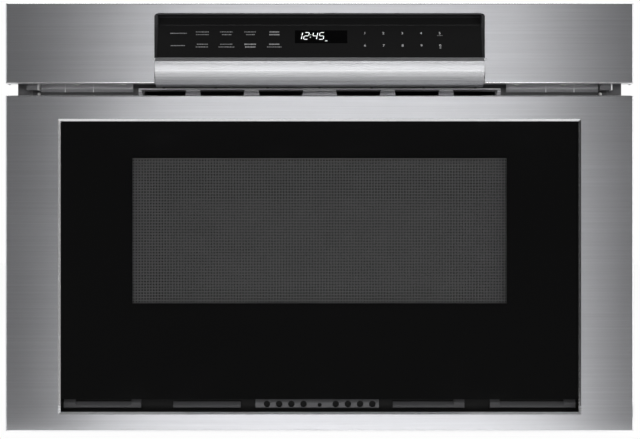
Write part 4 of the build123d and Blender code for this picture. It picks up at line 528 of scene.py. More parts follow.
dress("door_choke_frame", painted(
    "choke_paint", "door_choke_frame", (0.06, 0.06, 0.062), (0.085, 0.085, 0.088), 0.42))
dress("door_back_panel", painted(
    "pan_paint", "door_back_panel", (0.03, 0.03, 0.031), (0.045, 0.045, 0.047), 0.48))
dress("choke_cover", moulded(
    "choke_cover_plastic", (0.014, 0.014, 0.015), (0.022, 0.022, 0.023), 0.38))

inner_pane = Finish("inner_glass", {"IOR": 1.5})
smear = inner_pane.noise((90, 10, 40), 4.0, 0.6)
inner_pane.tint(smear, (0.1, 0.115, 0.11), (0.17, 0.185, 0.18))
inner_pane.set(
    roughness=0.03 + 0.08 * smear.between(0.5, 0.85), alpha=0.26 + 0.1 * smear.between(0.4, 0.9))
dress("door_inner_glass", inner_pane)


# ---- Air inlet strip ----
# A grey moulding in the slot under the glass: rounded bars with upturned ends, and a drilled piece
# in the middle that the cooling air comes in through.
DRILLED_MIDDLE = -3.0 * MM
DRILLED_HALF = 76.0 * MM
DRILLED_SOFT = 1.0 * MM
BAR_PLATE = 3.8 * MM         # from the strip's back to the plate that the bars stand on, painted black as painted shade
BAR_FOOT = 0.4 * MM


def drilled_tone_and_painted_shade(finish, colour):
    """The drilled piece is a lighter grey, and the plate behind the bars is painted black as
    painted shade.
    """
    x, y, _ = finish.axes()
    from_middle = (x - DRILLED_MIDDLE).size()
    drilled = from_middle.between(DRILLED_HALF + DRILLED_SOFT, DRILLED_HALF)
    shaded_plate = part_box("lower_vent_strip")[1].y - BAR_PLATE
    colour = finish.blend(drilled, colour, (0.125, 0.125, 0.13))
    # Painted shade: the plate deep behind the bars is near black.
    return finish.blend(y.between(shaded_plate - BAR_FOOT, shaded_plate), colour, (0.002, 0.002, 0.002))


dress("lower_vent_strip", moulded(
    "strip_plastic", (0.06, 0.06, 0.063), (0.085, 0.085, 0.089), 0.5, gloss=0.15,
    patch=drilled_tone_and_painted_shade))


# ---- Lip under the touch glass ----
# A rolled stainless nose, brighter than the panels because its curve gathers the light from above
# and because a band on its belly is painted lighter as a painted highlight; its lower roll is
# painted darker as painted shade.
HIGHLIGHT_RISE = (429.4 * MM, 433.0 * MM)    # heights where the painted highlight and painted shade change
HIGHLIGHT_FALL = (439.6 * MM, 437.8 * MM)
ROLL_SHADE_FALL = (423.2 * MM, 421.6 * MM)


def lip_painted_light(finish, colour, rough):
    """The belly is painted lighter as a painted highlight, and the lower roll darker as painted
    shade.
    """
    z = finish.axis("Z")
    # Painted highlight on the belly, painted shade on the lower roll.
    belly_highlight = z.between(*HIGHLIGHT_RISE) * z.between(*HIGHLIGHT_FALL)
    colour = finish.blend(belly_highlight * 0.5, colour, (0.92, 0.92, 0.94))
    return finish.blend(z.between(*ROLL_SHADE_FALL), colour, (0.23, 0.23, 0.235)), rough


dress("control_lip", brushed(
    "lip_steel", (0.47, 0.473, 0.49), (0.54, 0.543, 0.56), 0.28, 0.9, 0.004, lip_painted_light))


# ---- Touch glass ----
# Black glass with printed keys. It leans back by the panel's tilt, so the marks are drawn on a
# flat sheet (across, up the slope) and laid on its face. Words are printed as rows of plain bars.
PANEL_TILT = math.radians(36.69)
TOUCH_GLASS = 3.0 * MM
PRINT = 0.04 * MM
glass_low, glass_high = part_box("control_glass")
face_front = Vector((0, glass_low.y, glass_low.z + TOUCH_GLASS * math.sin(PANEL_TILT)))
face_rear = Vector((0, glass_high.y - TOUCH_GLASS * math.cos(PANEL_TILT), glass_high.z))
face_middle = (face_front + face_rear) / 2
up_slope = (face_rear - face_front).normalized()
out_of_glass = Vector((1, 0, 0)).cross(up_slope)
on_touch_glass = Matrix.Translation(face_middle + out_of_glass * PRINT) @ Matrix(
    (Vector((1, 0, 0)), up_slope, out_of_glass)).transposed().to_4x4()

DISPLAY_X = (-29.8 * MM, 33.4 * MM)
DISPLAY_UP = (-9.2 * MM, 11.5 * MM)
touch = Finish("touch_glass", {"IOR": 1.5, "Specular IOR Level": 0.14})
display_z = [(face_middle + up_slope * up).z for up in DISPLAY_UP]
in_display = printed_window(touch, DISPLAY_X, display_z)
ink = touch.noise((120, 30, 30), 2.0)
ink_colour = touch.blend(ink, (0.0129, 0.0129, 0.0131), (0.0153, 0.0153, 0.0155))
touch.tint(in_display, ink_colour, (0.0016, 0.0016, 0.0017))
fingers = touch.noise((16, 12, 12), 3.0, 0.6)
touch.set(roughness=0.06 + 0.06 * fingers.between(0.5, 0.8))
dress("control_glass", touch)

# Places and sizes of the print are in millimetres.
KEY_COLUMNS = (-169.8, -141.3, -112.2, -83.5, -54.4)
KEY_ROWS = (6.8, -13.0)
LINE_STEP = 2.2
PLAIN_WORD = (1.4, 0.6)      # height, and the gap between bars
BOLD_WORD = (2.2, 0.3)
LETTER_WIDE = (0.8, 1.6)
LETTER_TALL = (0.66, 1.0)    # of the word's height
LETTER_LEAST = 0.5
FINE_WORD = (0.8, 0.5)
WORD_DROP, MARK_DROP = 3.6, 3.8          # below the last numbers
SMALL_MARK = (1.9, 1.5)
KEY_WORDS = (                # the lengths of each key's lines
    ((20.4,), (16.0, 15.0), (16.0, 11.0), (14.6, 9.8), (12.2, 12.5)),
    ((17.5,), (12.0, 14.5), (14.6, 18.2), (13.6, 11.7), (12.0, 17.5)))
BOLD_WORDS = ((0, 4, 0), (0, 4, 1), (1, 3, 0), (1, 3, 1), (1, 4, 0))      # row, column, line
DIGIT_COLUMNS = (54.5, 76.9, 99.7, 122.3, 144.8)
DIGIT_HEIGHT = 3.6 * MM
TYPE_HEIGHT = 0.7            # a number's height as a share of its type size

printed = Pattern("printed_bars")
outline = printed.node(
    "GeometryNodeCurvePrimitiveQuadrilateral", {"Width": 1.0, "Height": 1.0})
filled = printed.node("GeometryNodeFillCurve", {"Curve": outline})
stretch = printed.node(
    "ShaderNodeCombineXYZ", (printed.attribute("wide"), printed.attribute("tall"), 1.0))
printed.end(printed.node(
    "GeometryNodeInstanceOnPoints",
    {"Points": printed.given, "Instance": filled, "Scale": stretch}))


def point_mesh(name, places, **attributes):
    """A mesh of loose points, each with its own named values."""
    mesh = bpy.data.meshes.new(name)
    mesh.from_pydata(places, [], [])
    for key, values in attributes.items():
        vector = isinstance(values[0], (tuple, Vector))
        layer = mesh.attributes.new(key, "FLOAT_VECTOR" if vector else "FLOAT", "POINT")
        flat = [number for value in values for number in value] if vector else values
        layer.data.foreach_set("vector" if vector else "value", flat)
    return mesh


chance = random.Random(5)
bar_places, bar_wide, bar_tall = [], [], []


def bar(across, up, wide, tall):
    """One printed bar, by its middle and its size in millimetres."""
    bar_places.append((across * MM, up * MM, 0))
    bar_wide.append(wide * MM)
    bar_tall.append(tall * MM)


def word(across, up, length, tall, gap):
    """A printed word as a row of bars of letter width."""
    at = across - length / 2
    while at < across + length / 2 - LETTER_LEAST:
        wide = chance.uniform(*LETTER_WIDE)
        bar(at + wide / 2, up, wide, chance.uniform(*LETTER_TALL) * tall)
        at += wide + gap


for row, up in enumerate(KEY_ROWS):
    for column, across in enumerate(KEY_COLUMNS):
        lengths = KEY_WORDS[row][column]
        for line, length in enumerate(lengths):
            lift = LINE_STEP * (len(lengths) - 1 - 2 * line)
            bold = (row, column, line) in BOLD_WORDS
            word(across, up + lift, length, *(BOLD_WORD if bold else PLAIN_WORD))
# Under the last numbers: a fine word in the upper row, a single mark in the lower.
word(DIGIT_COLUMNS[-1], KEY_ROWS[0] - WORD_DROP, 6.0, *FINE_WORD)
bar(DIGIT_COLUMNS[-1], KEY_ROWS[1] - MARK_DROP, *SMALL_MARK)


def print_ink(name, colour, glow):
    """Screen-printed ink: slightly uneven, with a faint glow of its own."""
    finish = Finish(name, {"Emission Strength": glow, "Emission Color": (*colour, 1)})
    uneven = finish.noise(0.9, 2.0)
    pale = tuple(min(1.0, part * 1.15) for part in colour)
    finish.tint(uneven, colour, pale)
    return finish.set(roughness=0.45 + 0.2 * uneven)


grey_ink = print_ink("grey_ink", (0.34, 0.34, 0.35), 0.08)
bar_points = point_mesh("key_points", bar_places, wide=bar_wide, tall=bar_tall)
bar_mesh = printed.mesh("key_words", bar_points, Finish=grey_ink.material)
bar_mesh.transform(on_touch_glass)
seat("key_words", bar_mesh, "chassis")


def printed_number(text, size):
    """A number's flat outline as a mesh, its middle at the origin."""
    curve = bpy.data.curves.new("number_" + text, "FONT")
    curve.body = text
    curve.size = size
    curve.align_x = "CENTER"
    curve.align_y = "CENTER"
    curve.resolution_u = 3
    carrier = bpy.data.objects.new("number", curve)
    scene.collection.objects.link(carrier)
    graph = bpy.context.evaluated_depsgraph_get()
    mesh = bpy.data.meshes.new_from_object(carrier.evaluated_get(graph), depsgraph=graph)
    bpy.data.objects.remove(carrier)
    return mesh


def joined_mesh(name, parts):
    """One mesh of several, each placed by its matrix."""
    whole = bmesh.new()
    for mesh, place in parts:
        mesh.transform(place)
        whole.from_mesh(mesh)
    mesh = bpy.data.meshes.new(name)
    whole.to_mesh(mesh)
    whole.free()
    return mesh


numbers = []
for position, text in enumerate("1234567890"):
    across = DIGIT_COLUMNS[position % 5] * MM
    up = KEY_ROWS[position // 5] * MM
    number = printed_number(text, DIGIT_HEIGHT / TYPE_HEIGHT)
    numbers.append((number, Matrix.Translation((across, up, 0))))
number_mesh = joined_mesh("key_numbers", numbers)
number_mesh.transform(on_touch_glass)
number_ink = print_ink("number_ink", (0.55, 0.55, 0.56), 0.22)
seat("key_numbers", number_mesh, "chassis", number_ink)

# Clock: four seven-segment digits, slanted, with a colon and a small mark, glowing white.
SEGMENT = 0.95
DIGIT_WIDE = 5.3
DIGIT_TALL = 11.0
ARM_SHORTER = 0.5            # than half a digit's height
MITRE = 0.3                  # left free at a pointed end
SLANT = 0.16
SEGMENTS = {"1": "bc", "2": "abged", "4": "fgbc", "5": "afgcd"}
CLOCK = (("1", -23.9), ("2", -15.9), ("4", -5.6), ("5", 2.4))
CLOCK_UP = 2.6
COLON = (-10.9, 1.9, 1.5)    # across, up and down from the middle, length
MARK = (9.3, -5.4, 3.2)      # across, up, length


def segment(across, up, length, level):
    """One lit bar with pointed ends, as its outline."""
    half, thin = length / 2, SEGMENT / 2
    below = [(-half, 0), (-half + thin, -thin), (half - thin, -thin)]
    shape = below + [(-u, -v) for u, v in below]
    return [(across + u, up + v) if level else (across + v, up + u) for u, v in shape]


def clock_outlines():
    """The outlines of all that is lit."""
    arm = DIGIT_TALL / 2 - ARM_SHORTER
    side, top, middle = DIGIT_WIDE / 2, DIGIT_TALL / 2, arm / 2 + MITRE
    spots = {
        "a": (0, top, 1), "d": (0, -top, 1), "g": (0, 0, 1), "f": (-side, middle, 0),
        "b": (side, middle, 0), "e": (-side, -middle, 0), "c": (side, -middle, 0)}
    for digit, across in CLOCK:
        for key in SEGMENTS[digit]:
            x, up, level = spots[key]
            length = DIGIT_WIDE - 2 * MITRE if level else arm
            yield segment(across + x, CLOCK_UP + up, length, level)
    across, apart, length = COLON
    for up in (apart, -apart):
        yield segment(across, CLOCK_UP + up, length, True)
    yield segment(*MARK, True)


clock_points, clock_faces = [], []
for outline_points in clock_outlines():
    clock_faces.append(range(len(clock_points), len(clock_points) + len(outline_points)))
    clock_points += [((x + SLANT * (up - CLOCK_UP)) * MM, up * MM, 0) for x, up in outline_points]
clock_mesh = bpy.data.meshes.new("clock_digits")
clock_mesh.from_pydata(clock_points, [], [tuple(face) for face in clock_faces])
clock_mesh.transform(on_touch_glass)
lit = print_ink("lit_segments", (0.86, 0.87, 0.88), 0.85)
seat("clock_digits", clock_mesh, "chassis", lit)


# ---- Control housing and its board ----
# The black moulding fills the notch in the upper panel and carries the glass; the touch and
# display board lies behind the glass.
dress("control_housing", moulded(
    "housing_plastic", (0.024, 0.024, 0.026), (0.03, 0.03, 0.032), 0.4, gloss=0.2))


def circuit_board(name):
    """Green laminate with copper tracks under the mask and pale printed outlines."""
    finish = Finish(name, {"Coat Weight": 0.5, "Coat Roughness": 0.18})
    tracks = finish.cells((4.2, 4.2, 60), "DISTANCE_TO_EDGE", "Distance", 0.55).between(0.05, 0.02)
    pads = finish.cells((2.6, 2.6, 60), "F1", "Distance", 0.2).between(0.14, 0.1)
    cloud = finish.noise(30, 3.0)
    laminate = finish.blend(cloud, (0.01, 0.075, 0.03), (0.016, 0.1, 0.042))
    colour = finish.blend(tracks * 0.55, laminate, (0.035, 0.19, 0.085))
    colour = finish.blend(pads * 0.8, colour, (0.45, 0.43, 0.37))
    finish.set(base_color=colour, metallic=pads * 0.8, roughness=0.42 - 0.12 * pads + 0.05 * tracks)
    return finish.relief(tracks * 0.5 + pads, 0.05)


dress("control_board", circuit_board("touch_board"))
dress("power_board", circuit_board("supply_board"))


# ---- Case, front frame, bracket and grille ----
# Zinc-coated steel sheet, folded, pressed and screwed together: crystals of zinc catch the light
# differently, faint rolling lines run along the sheet, and cut edges are duller.
ZINC = ((0.4, 0.405, 0.41), (0.6, 0.605, 0.61))
DULL_ZINC = ((0.3, 0.305, 0.31), (0.46, 0.465, 0.47))


def zinc_sheet(name, node, shades=ZINC, crystal=11.0, patch=None):
    """Coated sheet with crystals of a size in millimetres, stains, and rubbed edges."""
    finish = Finish(name, {"Metallic": 1.0})
    crystals = finish.cells((crystal, crystal * 1.2, crystal))
    flakes = finish.cells(crystal * 0.34)
    rolling = finish.noise((3, 260, 3), 2.0)
    stain = finish.noise((110, 150, 110), 4.0, 0.62).between(0.52, 0.8)
    worn = finish.rubbed_edges(node, 1.2)
    colour = finish.blend(crystals * 0.42 + flakes * 0.18 + rolling * 0.4, *shades)
    colour = finish.blend(stain * 0.3, colour, (0.34, 0.34, 0.335))
    colour = finish.blend(worn * 0.5, colour, (0.26, 0.255, 0.25))
    if patch:
        colour = patch(finish, colour)
    finish.set(base_color=colour, roughness=0.36 + 0.1 * crystals + 0.06 * stain + 0.1 * worn)
    return finish.relief(crystals * 0.6 + rolling * 0.4, 0.012)


for panel in ("base_plate", "back_panel", "top_cover"):
    dress(panel, zinc_sheet(panel + "_zinc", panel))
for inner in (
        "cavity_support", "waveguide", "magnetron_yoke", "rail_mounts", "motor_bracket",
        "drawer_arms"):
    dress(inner, zinc_sheet(inner + "_zinc", inner, crystal=7.0))


FLANGE_FRONT = (3.0 * MM, 2.0 * MM)      # behind the front frame's plane


def flange_front(finish, colour):
    """The front of a mounting flange is a darker grey and not metallic."""
    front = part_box("front_frame")[0].y
    face = finish.axis("Y").between(*(front + depth for depth in FLANGE_FRONT))
    finish.set(metallic=1.0 - face)
    return finish.blend(face, colour, (0.11, 0.11, 0.115))


for panel in ("right_side_panel", "left_side_panel"):
    dress(panel, zinc_sheet(panel + "_zinc", panel, DULL_ZINC, patch=flange_front))

SKIRT_PAINTED_LIGHT = (6.4 * MM, 2.2 * MM)      # below the upper panel's edge, where the skirts are painted lighter as painted light against its shadow
SEAM_HIGHLIGHT_X = (277.0 * MM, 311.5 * MM)
SEAM_HIGHLIGHT_HALF = 0.55 * MM
EAR_FROM = (341.0 * MM, 341.3 * MM)
EAR_EDGE_HIGHLIGHTS = ((-342.4 * MM, 0.5), (355.4 * MM, 0.85))        # with the brightness of their painted highlights
EAR_HIGHLIGHT_HALF = 0.85 * MM
LINE_SOFT = 0.05 * MM


def bracket_painted_light(finish, colour):
    """The skirts are painted lighter upwards against the upper panel's shadow, with painted
    highlights along their seams; the ears are darker and not metallic, with a painted highlight
    along one edge.
    """
    x, _, z = finish.axes()
    panel_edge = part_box("control_fascia")[0].z
    upper = z.between(*(panel_edge - drop for drop in SKIRT_PAINTED_LIGHT))
    # Painted light: the skirts' upper band, in the upper panel's shadow, is lighter.
    colour = finish.blend(upper, colour, (0.62, 0.62, 0.64))
    for seam in SEAM_HIGHLIGHT_X:
        # Painted highlights: bright lines along the skirts' seams.
        wear_and_highlight = x.size().within(seam - SEAM_HIGHLIGHT_HALF, seam + SEAM_HIGHLIGHT_HALF, LINE_SOFT) * 0.5
        colour = finish.blend(wear_and_highlight, colour, (0.85, 0.85, 0.86))
    ears = x.size().between(*EAR_FROM)
    colour = finish.blend(ears, colour, (0.1, 0.1, 0.105))
    # Painted highlights: one bright edge on each ear, brighter on the right-hand ear.
    for edge, shade in EAR_EDGE_HIGHLIGHTS:
        wear_and_highlight = x.within(edge - EAR_HIGHLIGHT_HALF, edge + EAR_HIGHLIGHT_HALF, LINE_SOFT)
        colour = finish.blend(wear_and_highlight, colour, (shade, shade, shade))
    finish.set(metallic=1.0 - ears)
    return colour


HEM_TALL = 3.0 * MM
HEM_SOFT = 0.3 * MM


def grille_hem_highlight(finish, colour):
    """The grille's upper hem is painted white as a painted highlight."""
    hem_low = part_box("vent_grille")[1].z - HEM_TALL
    hem_highlight = finish.axis("Z").between(hem_low - HEM_SOFT, hem_low)
    finish.set(metallic=1.0 - hem_highlight)
    # Painted highlight: the hem is white and not metallic.
    return finish.blend(hem_highlight, colour, (0.96, 0.96, 0.97))


dress("control_bracket", zinc_sheet(
    "bracket_steel", "control_bracket", ((0.15, 0.15, 0.155), (0.21, 0.21, 0.22)), 4.0,
    bracket_painted_light))
dress("vent_grille", zinc_sheet(
    "grille_steel", "vent_grille", ((0.22, 0.22, 0.23), (0.32, 0.32, 0.335)), 4.0, grille_hem_highlight))
dress("front_frame", painted(
    "frame_paint", "front_frame", (0.045, 0.045, 0.047), (0.065, 0.065, 0.068), 0.42))
dress("cord_gland", moulded("gland_plastic", (0.016, 0.016, 0.017), (0.026, 0.026, 0.027), 0.5))


# ---- Screws ----
# Zinc-plated pan heads with a cross recess, turned to a different angle each. They stand where the
# drawn heads are: along the lid, in the bracket, beside it, and on the drawer's arms.
RIM_DEPTH = 0.05 * MM        # points this close to a face belong to it


def loose_parts(name):
    """The separate bodies of a node, each as a list of its points."""
    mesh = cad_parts[name].data
    key = {v.index: tuple(round(c, 6) for c in v.co) for v in mesh.vertices}
    home = {point: point for point in key.values()}

    def find(point):
        while home[point] != point:
            point = home[point]
        return point

    for polygon in mesh.polygons:
        first, *others = [find(key[i]) for i in polygon.vertices]
        for other in others:
            home[find(other)] = find(first)
    parts = {}
    for point in home:
        parts.setdefault(find(point), []).append(Vector(point))
    return list(parts.values())


def head_of(points):
    """A head's seat, the way it faces, its radius and its height."""
    low = Vector([min(p[i] for p in points) for i in range(3)])
    high = Vector([max(p[i] for p in points) for i in range(3)])
    size = high - low
    thin = min(range(3), key=lambda i: size[i])
    middle = (low + high) / 2
    spread = {}
    for side, level in ((-1, low[thin]), (1, high[thin])):
        ring = [(p - middle) for p in points if abs(p[thin] - level) < RIM_DEPTH]
        spread[side] = max(math.hypot(*[p[i] for i in range(3) if i != thin]) for p in ring)
    out = 1 if spread[1] < spread[-1] else -1
    facing_way, seat_point = Vector((0, 0, 0)), middle.copy()
    facing_way[thin] = out
    seat_point[thin] = low[thin] if out > 0 else high[thin]
    return seat_point, facing_way, max(size) / 2, size[thin]


HEAD_SEGMENTS = 24
HEAD_PROFILE = ((1.0, 0.0), (1.0, 0.35), (0.96, 0.62), (0.86, 0.82), (0.7, 0.94), (0.5, 1.0))
RECESS_LONG = 0.62
RECESS_WIDE = 0.2
RECESS_DEEP = 0.62


def screw_head():
    """A domed head of radius 1 and height 1 with a cross sunk in its top."""
    shape = bmesh.new()
    rings = []
    turns = [2 * math.pi * n / HEAD_SEGMENTS for n in range(HEAD_SEGMENTS)]
    for radius, height in HEAD_PROFILE:
        ring = [(radius * math.cos(a), radius * math.sin(a), height) for a in turns]
        rings.append([shape.verts.new(place) for place in ring])
    for lower, upper in zip(rings, rings[1:]):
        for n in range(HEAD_SEGMENTS):
            m = (n + 1) % HEAD_SEGMENTS
            shape.faces.new((lower[n], lower[m], upper[m], upper[n]))
    shape.faces.new(rings[-1])
    shape.faces.new(rings[0][::-1])
    head = bpy.data.meshes.new("screw_head")
    shape.to_mesh(head)
    shape.free()
    cross = bmesh.new()
    for across, along in ((RECESS_LONG, RECESS_WIDE), (RECESS_WIDE, RECESS_LONG)):
        arm = bmesh.ops.create_cube(cross, size=1.0)["verts"]
        bmesh.ops.scale(cross, vec=(2 * across, 2 * along, 2 * RECESS_DEEP), verts=arm)
        bmesh.ops.translate(cross, vec=(0, 0, 1.0), verts=arm)
    tool_mesh = bpy.data.meshes.new("screw_cross")
    cross.to_mesh(tool_mesh)
    cross.free()
    body, tool = (bpy.data.objects.new(m.name, m) for m in (head, tool_mesh))
    for made in (body, tool):
        scene.collection.objects.link(made)
    sink = body.modifiers.new("sink", "BOOLEAN")
    sink.object = tool
    sink.operation = "DIFFERENCE"
    sink.use_self = True
    graph = bpy.context.evaluated_depsgraph_get()
    result = bpy.data.meshes.new_from_object(body.evaluated_get(graph), depsgraph=graph)
    for made in (body, tool):
        bpy.data.objects.remove(made)
    return result


screwed = Pattern("screw_heads")
source = screwed.node(
    "GeometryNodeObjectInfo", {"Object": screwed.size("Head", "Object")}, "Geometry")
turned = screwed.node(
    "FunctionNodeAlignRotationToVector",
    {"Vector": screwed.attribute("facing", "FLOAT_VECTOR")}, axis="Z")
angle = screwed.node(
    "FunctionNodeRandomValue", {2: 0.0, 3: math.pi, 8: screwed.size("Seed", "Int")}, 1,
    data_type="FLOAT")
spin = screwed.node(
    "FunctionNodeAxisAngleToRotation", {"Axis": (0.0, 0.0, 1.0), "Angle": angle})
driven = screwed.node(
    "FunctionNodeRotateRotation", {"Rotation": turned, "Rotate By": spin},
    rotation_space="LOCAL")
widths = screwed.node(
    "ShaderNodeCombineXYZ", [screwed.attribute(key) for key in ("wide", "wide", "tall")])
screwed.end(screwed.node(
    "GeometryNodeInstanceOnPoints",
    {"Points": screwed.given, "Instance": source, "Rotation": driven, "Scale": widths}))

screw_zinc = Finish("screw_zinc", {"Metallic": 1.0})
plating = screw_zinc.noise(1.2, 3.0, 0.6)
screw_zinc.tint(plating, (0.62, 0.62, 0.6), (0.8, 0.8, 0.79))
screw_zinc.set(roughness=0.22 + 0.22 * plating)
screw_zinc.relief(plating, 0.01)

head_object = bpy.data.objects.new("screw_head", screw_head())
scene.collection.objects.link(head_object)
for piece_name, drawn, body, seed in (
        ("case_screw_heads", "case_screws", "chassis", 3),
        ("drawer_screw_heads", "drawer_screws", "drawer", 8)):
    places, facing, wide, tall = zip(*map(head_of, loose_parts(drawn)))
    starts = point_mesh(piece_name + "_points", places, facing=facing, wide=wide, tall=tall)
    mesh = screwed.mesh(piece_name, starts, Head=head_object, Seed=seed, Finish=screw_zinc.material)
    screws = seat(piece_name, mesh, body)
    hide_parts(drawn)
bpy.data.objects.remove(head_object)


# ---- Cavity and the stirrer in its ceiling ----
# The cooking chamber is welded sheet with a light grey baked paint, speckled, with faint grease
# marks. A mica plate closes the stirrer's well; the stirrer is stamped aluminium.
dress("oven_cavity", painted(
    "cavity_paint", "oven_cavity", (0.4, 0.4, 0.39), (0.5, 0.5, 0.49), 0.34))

mica = Finish("mica_plate", {"Coat Weight": 0.25, "Coat Roughness": 0.25})
flake = mica.cells(6.5)
tiny_flake = mica.cells(1.8)
mica.tint(flake * 0.6 + tiny_flake * 0.4, (0.36, 0.29, 0.2), (0.56, 0.48, 0.36))
mica.set(roughness=0.3 + 0.3 * flake)
mica.relief(flake * 0.5 + tiny_flake * 0.5, 0.04)
dress("stirrer_cover", mica)


def aluminium(name, grain=(40, 40, 2), dark=(0.6, 0.61, 0.62), light=(0.78, 0.79, 0.8)):
    """Mill-finish aluminium with rolling lines and a thin oxide haze."""
    finish = Finish(name, {"Metallic": 1.0, "Anisotropic": 0.3})
    lines = finish.noise(grain, 3.0, 0.6)
    haze = finish.noise(26, 3.0, 0.6)
    finish.tint(lines * 0.6 + haze * 0.4, dark, light)
    finish.set(roughness=0.26 + 0.16 * haze + 0.1 * lines)
    return finish.relief(lines, 0.015)


dress("stirrer", aluminium("stirrer_aluminium"))
dress("magnetron_body", aluminium("fin_aluminium", (3, 60, 3)))
dress("hv_capacitor", aluminium(
    "capacitor_can", (2, 2, 70), (0.56, 0.57, 0.58), (0.72, 0.73, 0.74)))


def plated(name, dark, light, roughness=0.3):
    """Plated steel of motors and cans: satin, with handling marks."""
    finish = Finish(name, {"Metallic": 0.9})
    marks = finish.noise(12, 4.0, 0.65)
    fine = finish.noise(1.5, 2.0)
    finish.tint(marks, dark, light)
    finish.set(roughness=roughness + 0.18 * marks + 0.05 * fine)
    return finish.relief(marks * 0.5 + fine * 0.5, 0.02)


dress("stirrer_motor", plated("stirrer_motor_can", (0.44, 0.45, 0.46), (0.62, 0.63, 0.64)))
dress("drive_motor", plated("drive_motor_can", (0.3, 0.31, 0.32), (0.46, 0.47, 0.48), 0.34))
dress("oven_lamp", plated("lamp_house", (0.5, 0.5, 0.49), (0.66, 0.66, 0.65)))
dress("thermal_cutouts", moulded(
    "cutout_plastic", (0.02, 0.018, 0.017), (0.034, 0.031, 0.029), 0.5))


# ---- Transformer and fan motor ----
# Stacks of varnished steel laminations, whose edges show as fine lines along the stack, and coils
# of enamelled copper wire laid turn by turn.
LEAF_PITCH = 1.0 * MM
WIRE_PITCH = 1.1 * MM


def laminated(name, across):
    """The varnished edges of laminations stacked along an axis, with specks of rust."""
    finish = Finish(name, {"Metallic": 0.85, "Coat Weight": 0.3, "Coat Roughness": 0.25})
    leaves = finish.axis(across).wave(LEAF_PITCH)
    varnish = finish.noise(18, 4.0, 0.65)
    rust = finish.noise(7, 4.0, 0.7).between(0.6, 0.78)
    colour = finish.blend(leaves * 0.6 + varnish * 0.4, (0.1, 0.098, 0.098), (0.24, 0.235, 0.235))
    finish.tint(rust * 0.5, colour, (0.17, 0.08, 0.04))
    finish.set(roughness=0.4 + 0.2 * varnish + 0.1 * rust)
    return finish.relief(leaves, 0.12)


dress("transformer_core", laminated("transformer_stack", "Y"))
dress("fan_motor", laminated("motor_stack", "X"))

copper = Finish("winding_copper", {"Metallic": 0.9, "Coat Weight": 0.6, "Coat Roughness": 0.12})
turns_of_wire = copper.axis("Z").wave(WIRE_PITCH)
enamel = copper.noise((22, 22, 3), 3.0)
copper.tint(turns_of_wire * 0.7 + enamel * 0.3, (0.28, 0.1, 0.035), (0.72, 0.34, 0.16))
copper.set(roughness=0.22 + 0.2 * enamel)
copper.relief(turns_of_wire, 0.3)
dress("transformer_windings", copper)


# ---- Fan, shroud and exhaust duct ----
# Moulded in heat-resistant plastic: grey for the shroud with its air guide, black for the wheel
# and for the duct over the cavity.
dress("fan_shroud", moulded("duct_plastic", (0.2, 0.2, 0.205), (0.27, 0.27, 0.275), 0.5, 0.5))
dress("fan_blade", moulded("wheel_plastic", (0.018, 0.018, 0.019), (0.03, 0.03, 0.031), 0.42))
dress("exhaust_duct", moulded(
    "duct_dark_plastic", (0.01, 0.01, 0.01), (0.016, 0.016, 0.016), 0.6, 0.5))


# ---- Drawer box and ceramic plate ----
# The food box is drawn satin stainless with a hemmed rim, wiped clean again and again. A flat
# glazed ceramic plate lies on its floor.
box_steel = Finish("box_steel", {"Metallic": 1.0})
wipes = box_steel.noise((55, 12, 55), 4.0, 0.6)
satin = box_steel.noise((1.3, 24, 1.3), 3.0, 0.6)
box_steel.tint(satin * 0.6 + wipes * 0.4, (0.52, 0.52, 0.525), (0.68, 0.68, 0.685))
box_steel.set(roughness=0.3 + 0.14 * wipes + 0.08 * satin)
box_steel.relief(satin, 0.012)
dress("drawer_box", box_steel)

glaze = Finish("ceramic_glaze", {"Coat Weight": 0.8, "Coat Roughness": 0.08, "IOR": 1.5})
cloud = glaze.noise(45, 3.0)
speck = glaze.cells(3.4, "F1", "Distance").between(0.13, 0.08)
glaze_colour = glaze.blend(cloud, (0.72, 0.71, 0.675), (0.78, 0.77, 0.735))
glaze.tint(speck * 0.35, glaze_colour, (0.42, 0.39, 0.34))
glaze.set(roughness=0.16 + 0.12 * cloud)
glaze.relief(cloud, 0.05)
dress("ceramic_shelf", glaze)


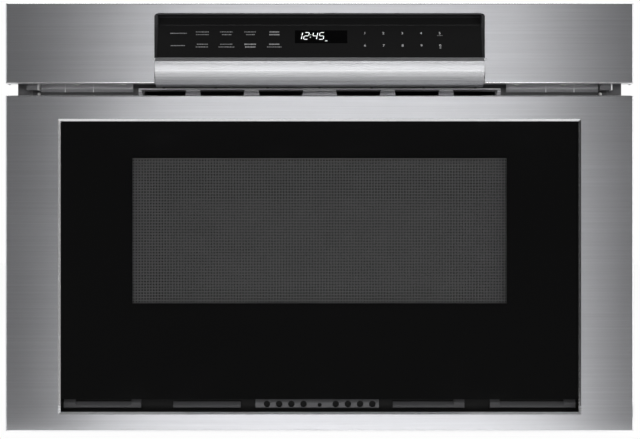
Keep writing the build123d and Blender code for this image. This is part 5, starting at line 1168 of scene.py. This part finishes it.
# ---- Slides, hooks and switches ----
# The slides are roll-formed and bright zinc plated, with a film of grease and fine rubbing marks
# along their travel. Hooks and switch cases are moulded.
def slide_steel(name):
    """Bright zinc with fine lines along the travel and smears of grease."""
    finish = Finish(name, {"Metallic": 1.0, "Anisotropic": 0.4})
    rubbing = finish.noise((1.1, 150, 1.1), 3.0, 0.6)
    grease = finish.noise((16, 50, 16), 4.0, 0.65).between(0.5, 0.74)
    colour = finish.blend(rubbing, (0.52, 0.53, 0.545), (0.7, 0.71, 0.725))
    colour = finish.blend(grease * 0.4, colour, (0.33, 0.29, 0.2))
    finish.set(base_color=colour, roughness=0.2 + 0.14 * rubbing + 0.1 * grease)
    return finish.relief(rubbing, 0.015)


for rail in ("outer_rails", "right_middle_rail", "left_middle_rail", "inner_rails"):
    dress(rail, slide_steel(rail + "_plating"))
dress("latch_hooks", moulded("hook_plastic", (0.24, 0.24, 0.245), (0.32, 0.32, 0.325), 0.4))
dress("interlock_switches", moulded(
    "switch_plastic", (0.016, 0.016, 0.017), (0.028, 0.028, 0.03), 0.4))


# ---- Rack drive ----
# Racks, pinions and the large gear are natural nylon, slightly translucent and greased at the
# teeth; the cross shaft and the motor's pinion are ground steel; bearings are grey acetal.
def nylon(name):
    """Pale nylon with grease between the teeth."""
    finish = Finish(name, {"IOR": 1.53, "Subsurface Weight": 0.08, "Subsurface Scale": 0.002})
    body_tone = finish.noise(30, 2.0)
    grease = finish.noise((7, 9, 7), 4.0, 0.7).between(0.54, 0.74)
    colour = finish.blend(body_tone, (0.66, 0.64, 0.57), (0.75, 0.73, 0.67))
    finish.tint(grease * 0.35, colour, (0.36, 0.31, 0.2))
    finish.set(roughness=0.36 - 0.16 * grease + 0.08 * body_tone)
    return finish.relief(finish.noise(0.8, 2.0), 0.01)


tooth_nylon = nylon("tooth_nylon")
for part in ("racks", "rack_pinions", "drive_gear"):
    dress(part, tooth_nylon)

ground = Finish("ground_steel", {"Metallic": 1.0, "Anisotropic": 0.5})
turning = ground.noise((0.5, 6, 6), 2.0)
oil = ground.noise(20, 3.0)
ground.tint(turning * 0.6 + oil * 0.4, (0.6, 0.6, 0.605), (0.76, 0.76, 0.765))
ground.set(roughness=0.16 + 0.14 * oil)
ground.relief(turning, 0.008)
dress("cross_shaft", ground)
dress("motor_pinion", ground)
dress("shaft_bearings", moulded("bearing_acetal", (0.26, 0.26, 0.265), (0.34, 0.34, 0.345), 0.42))
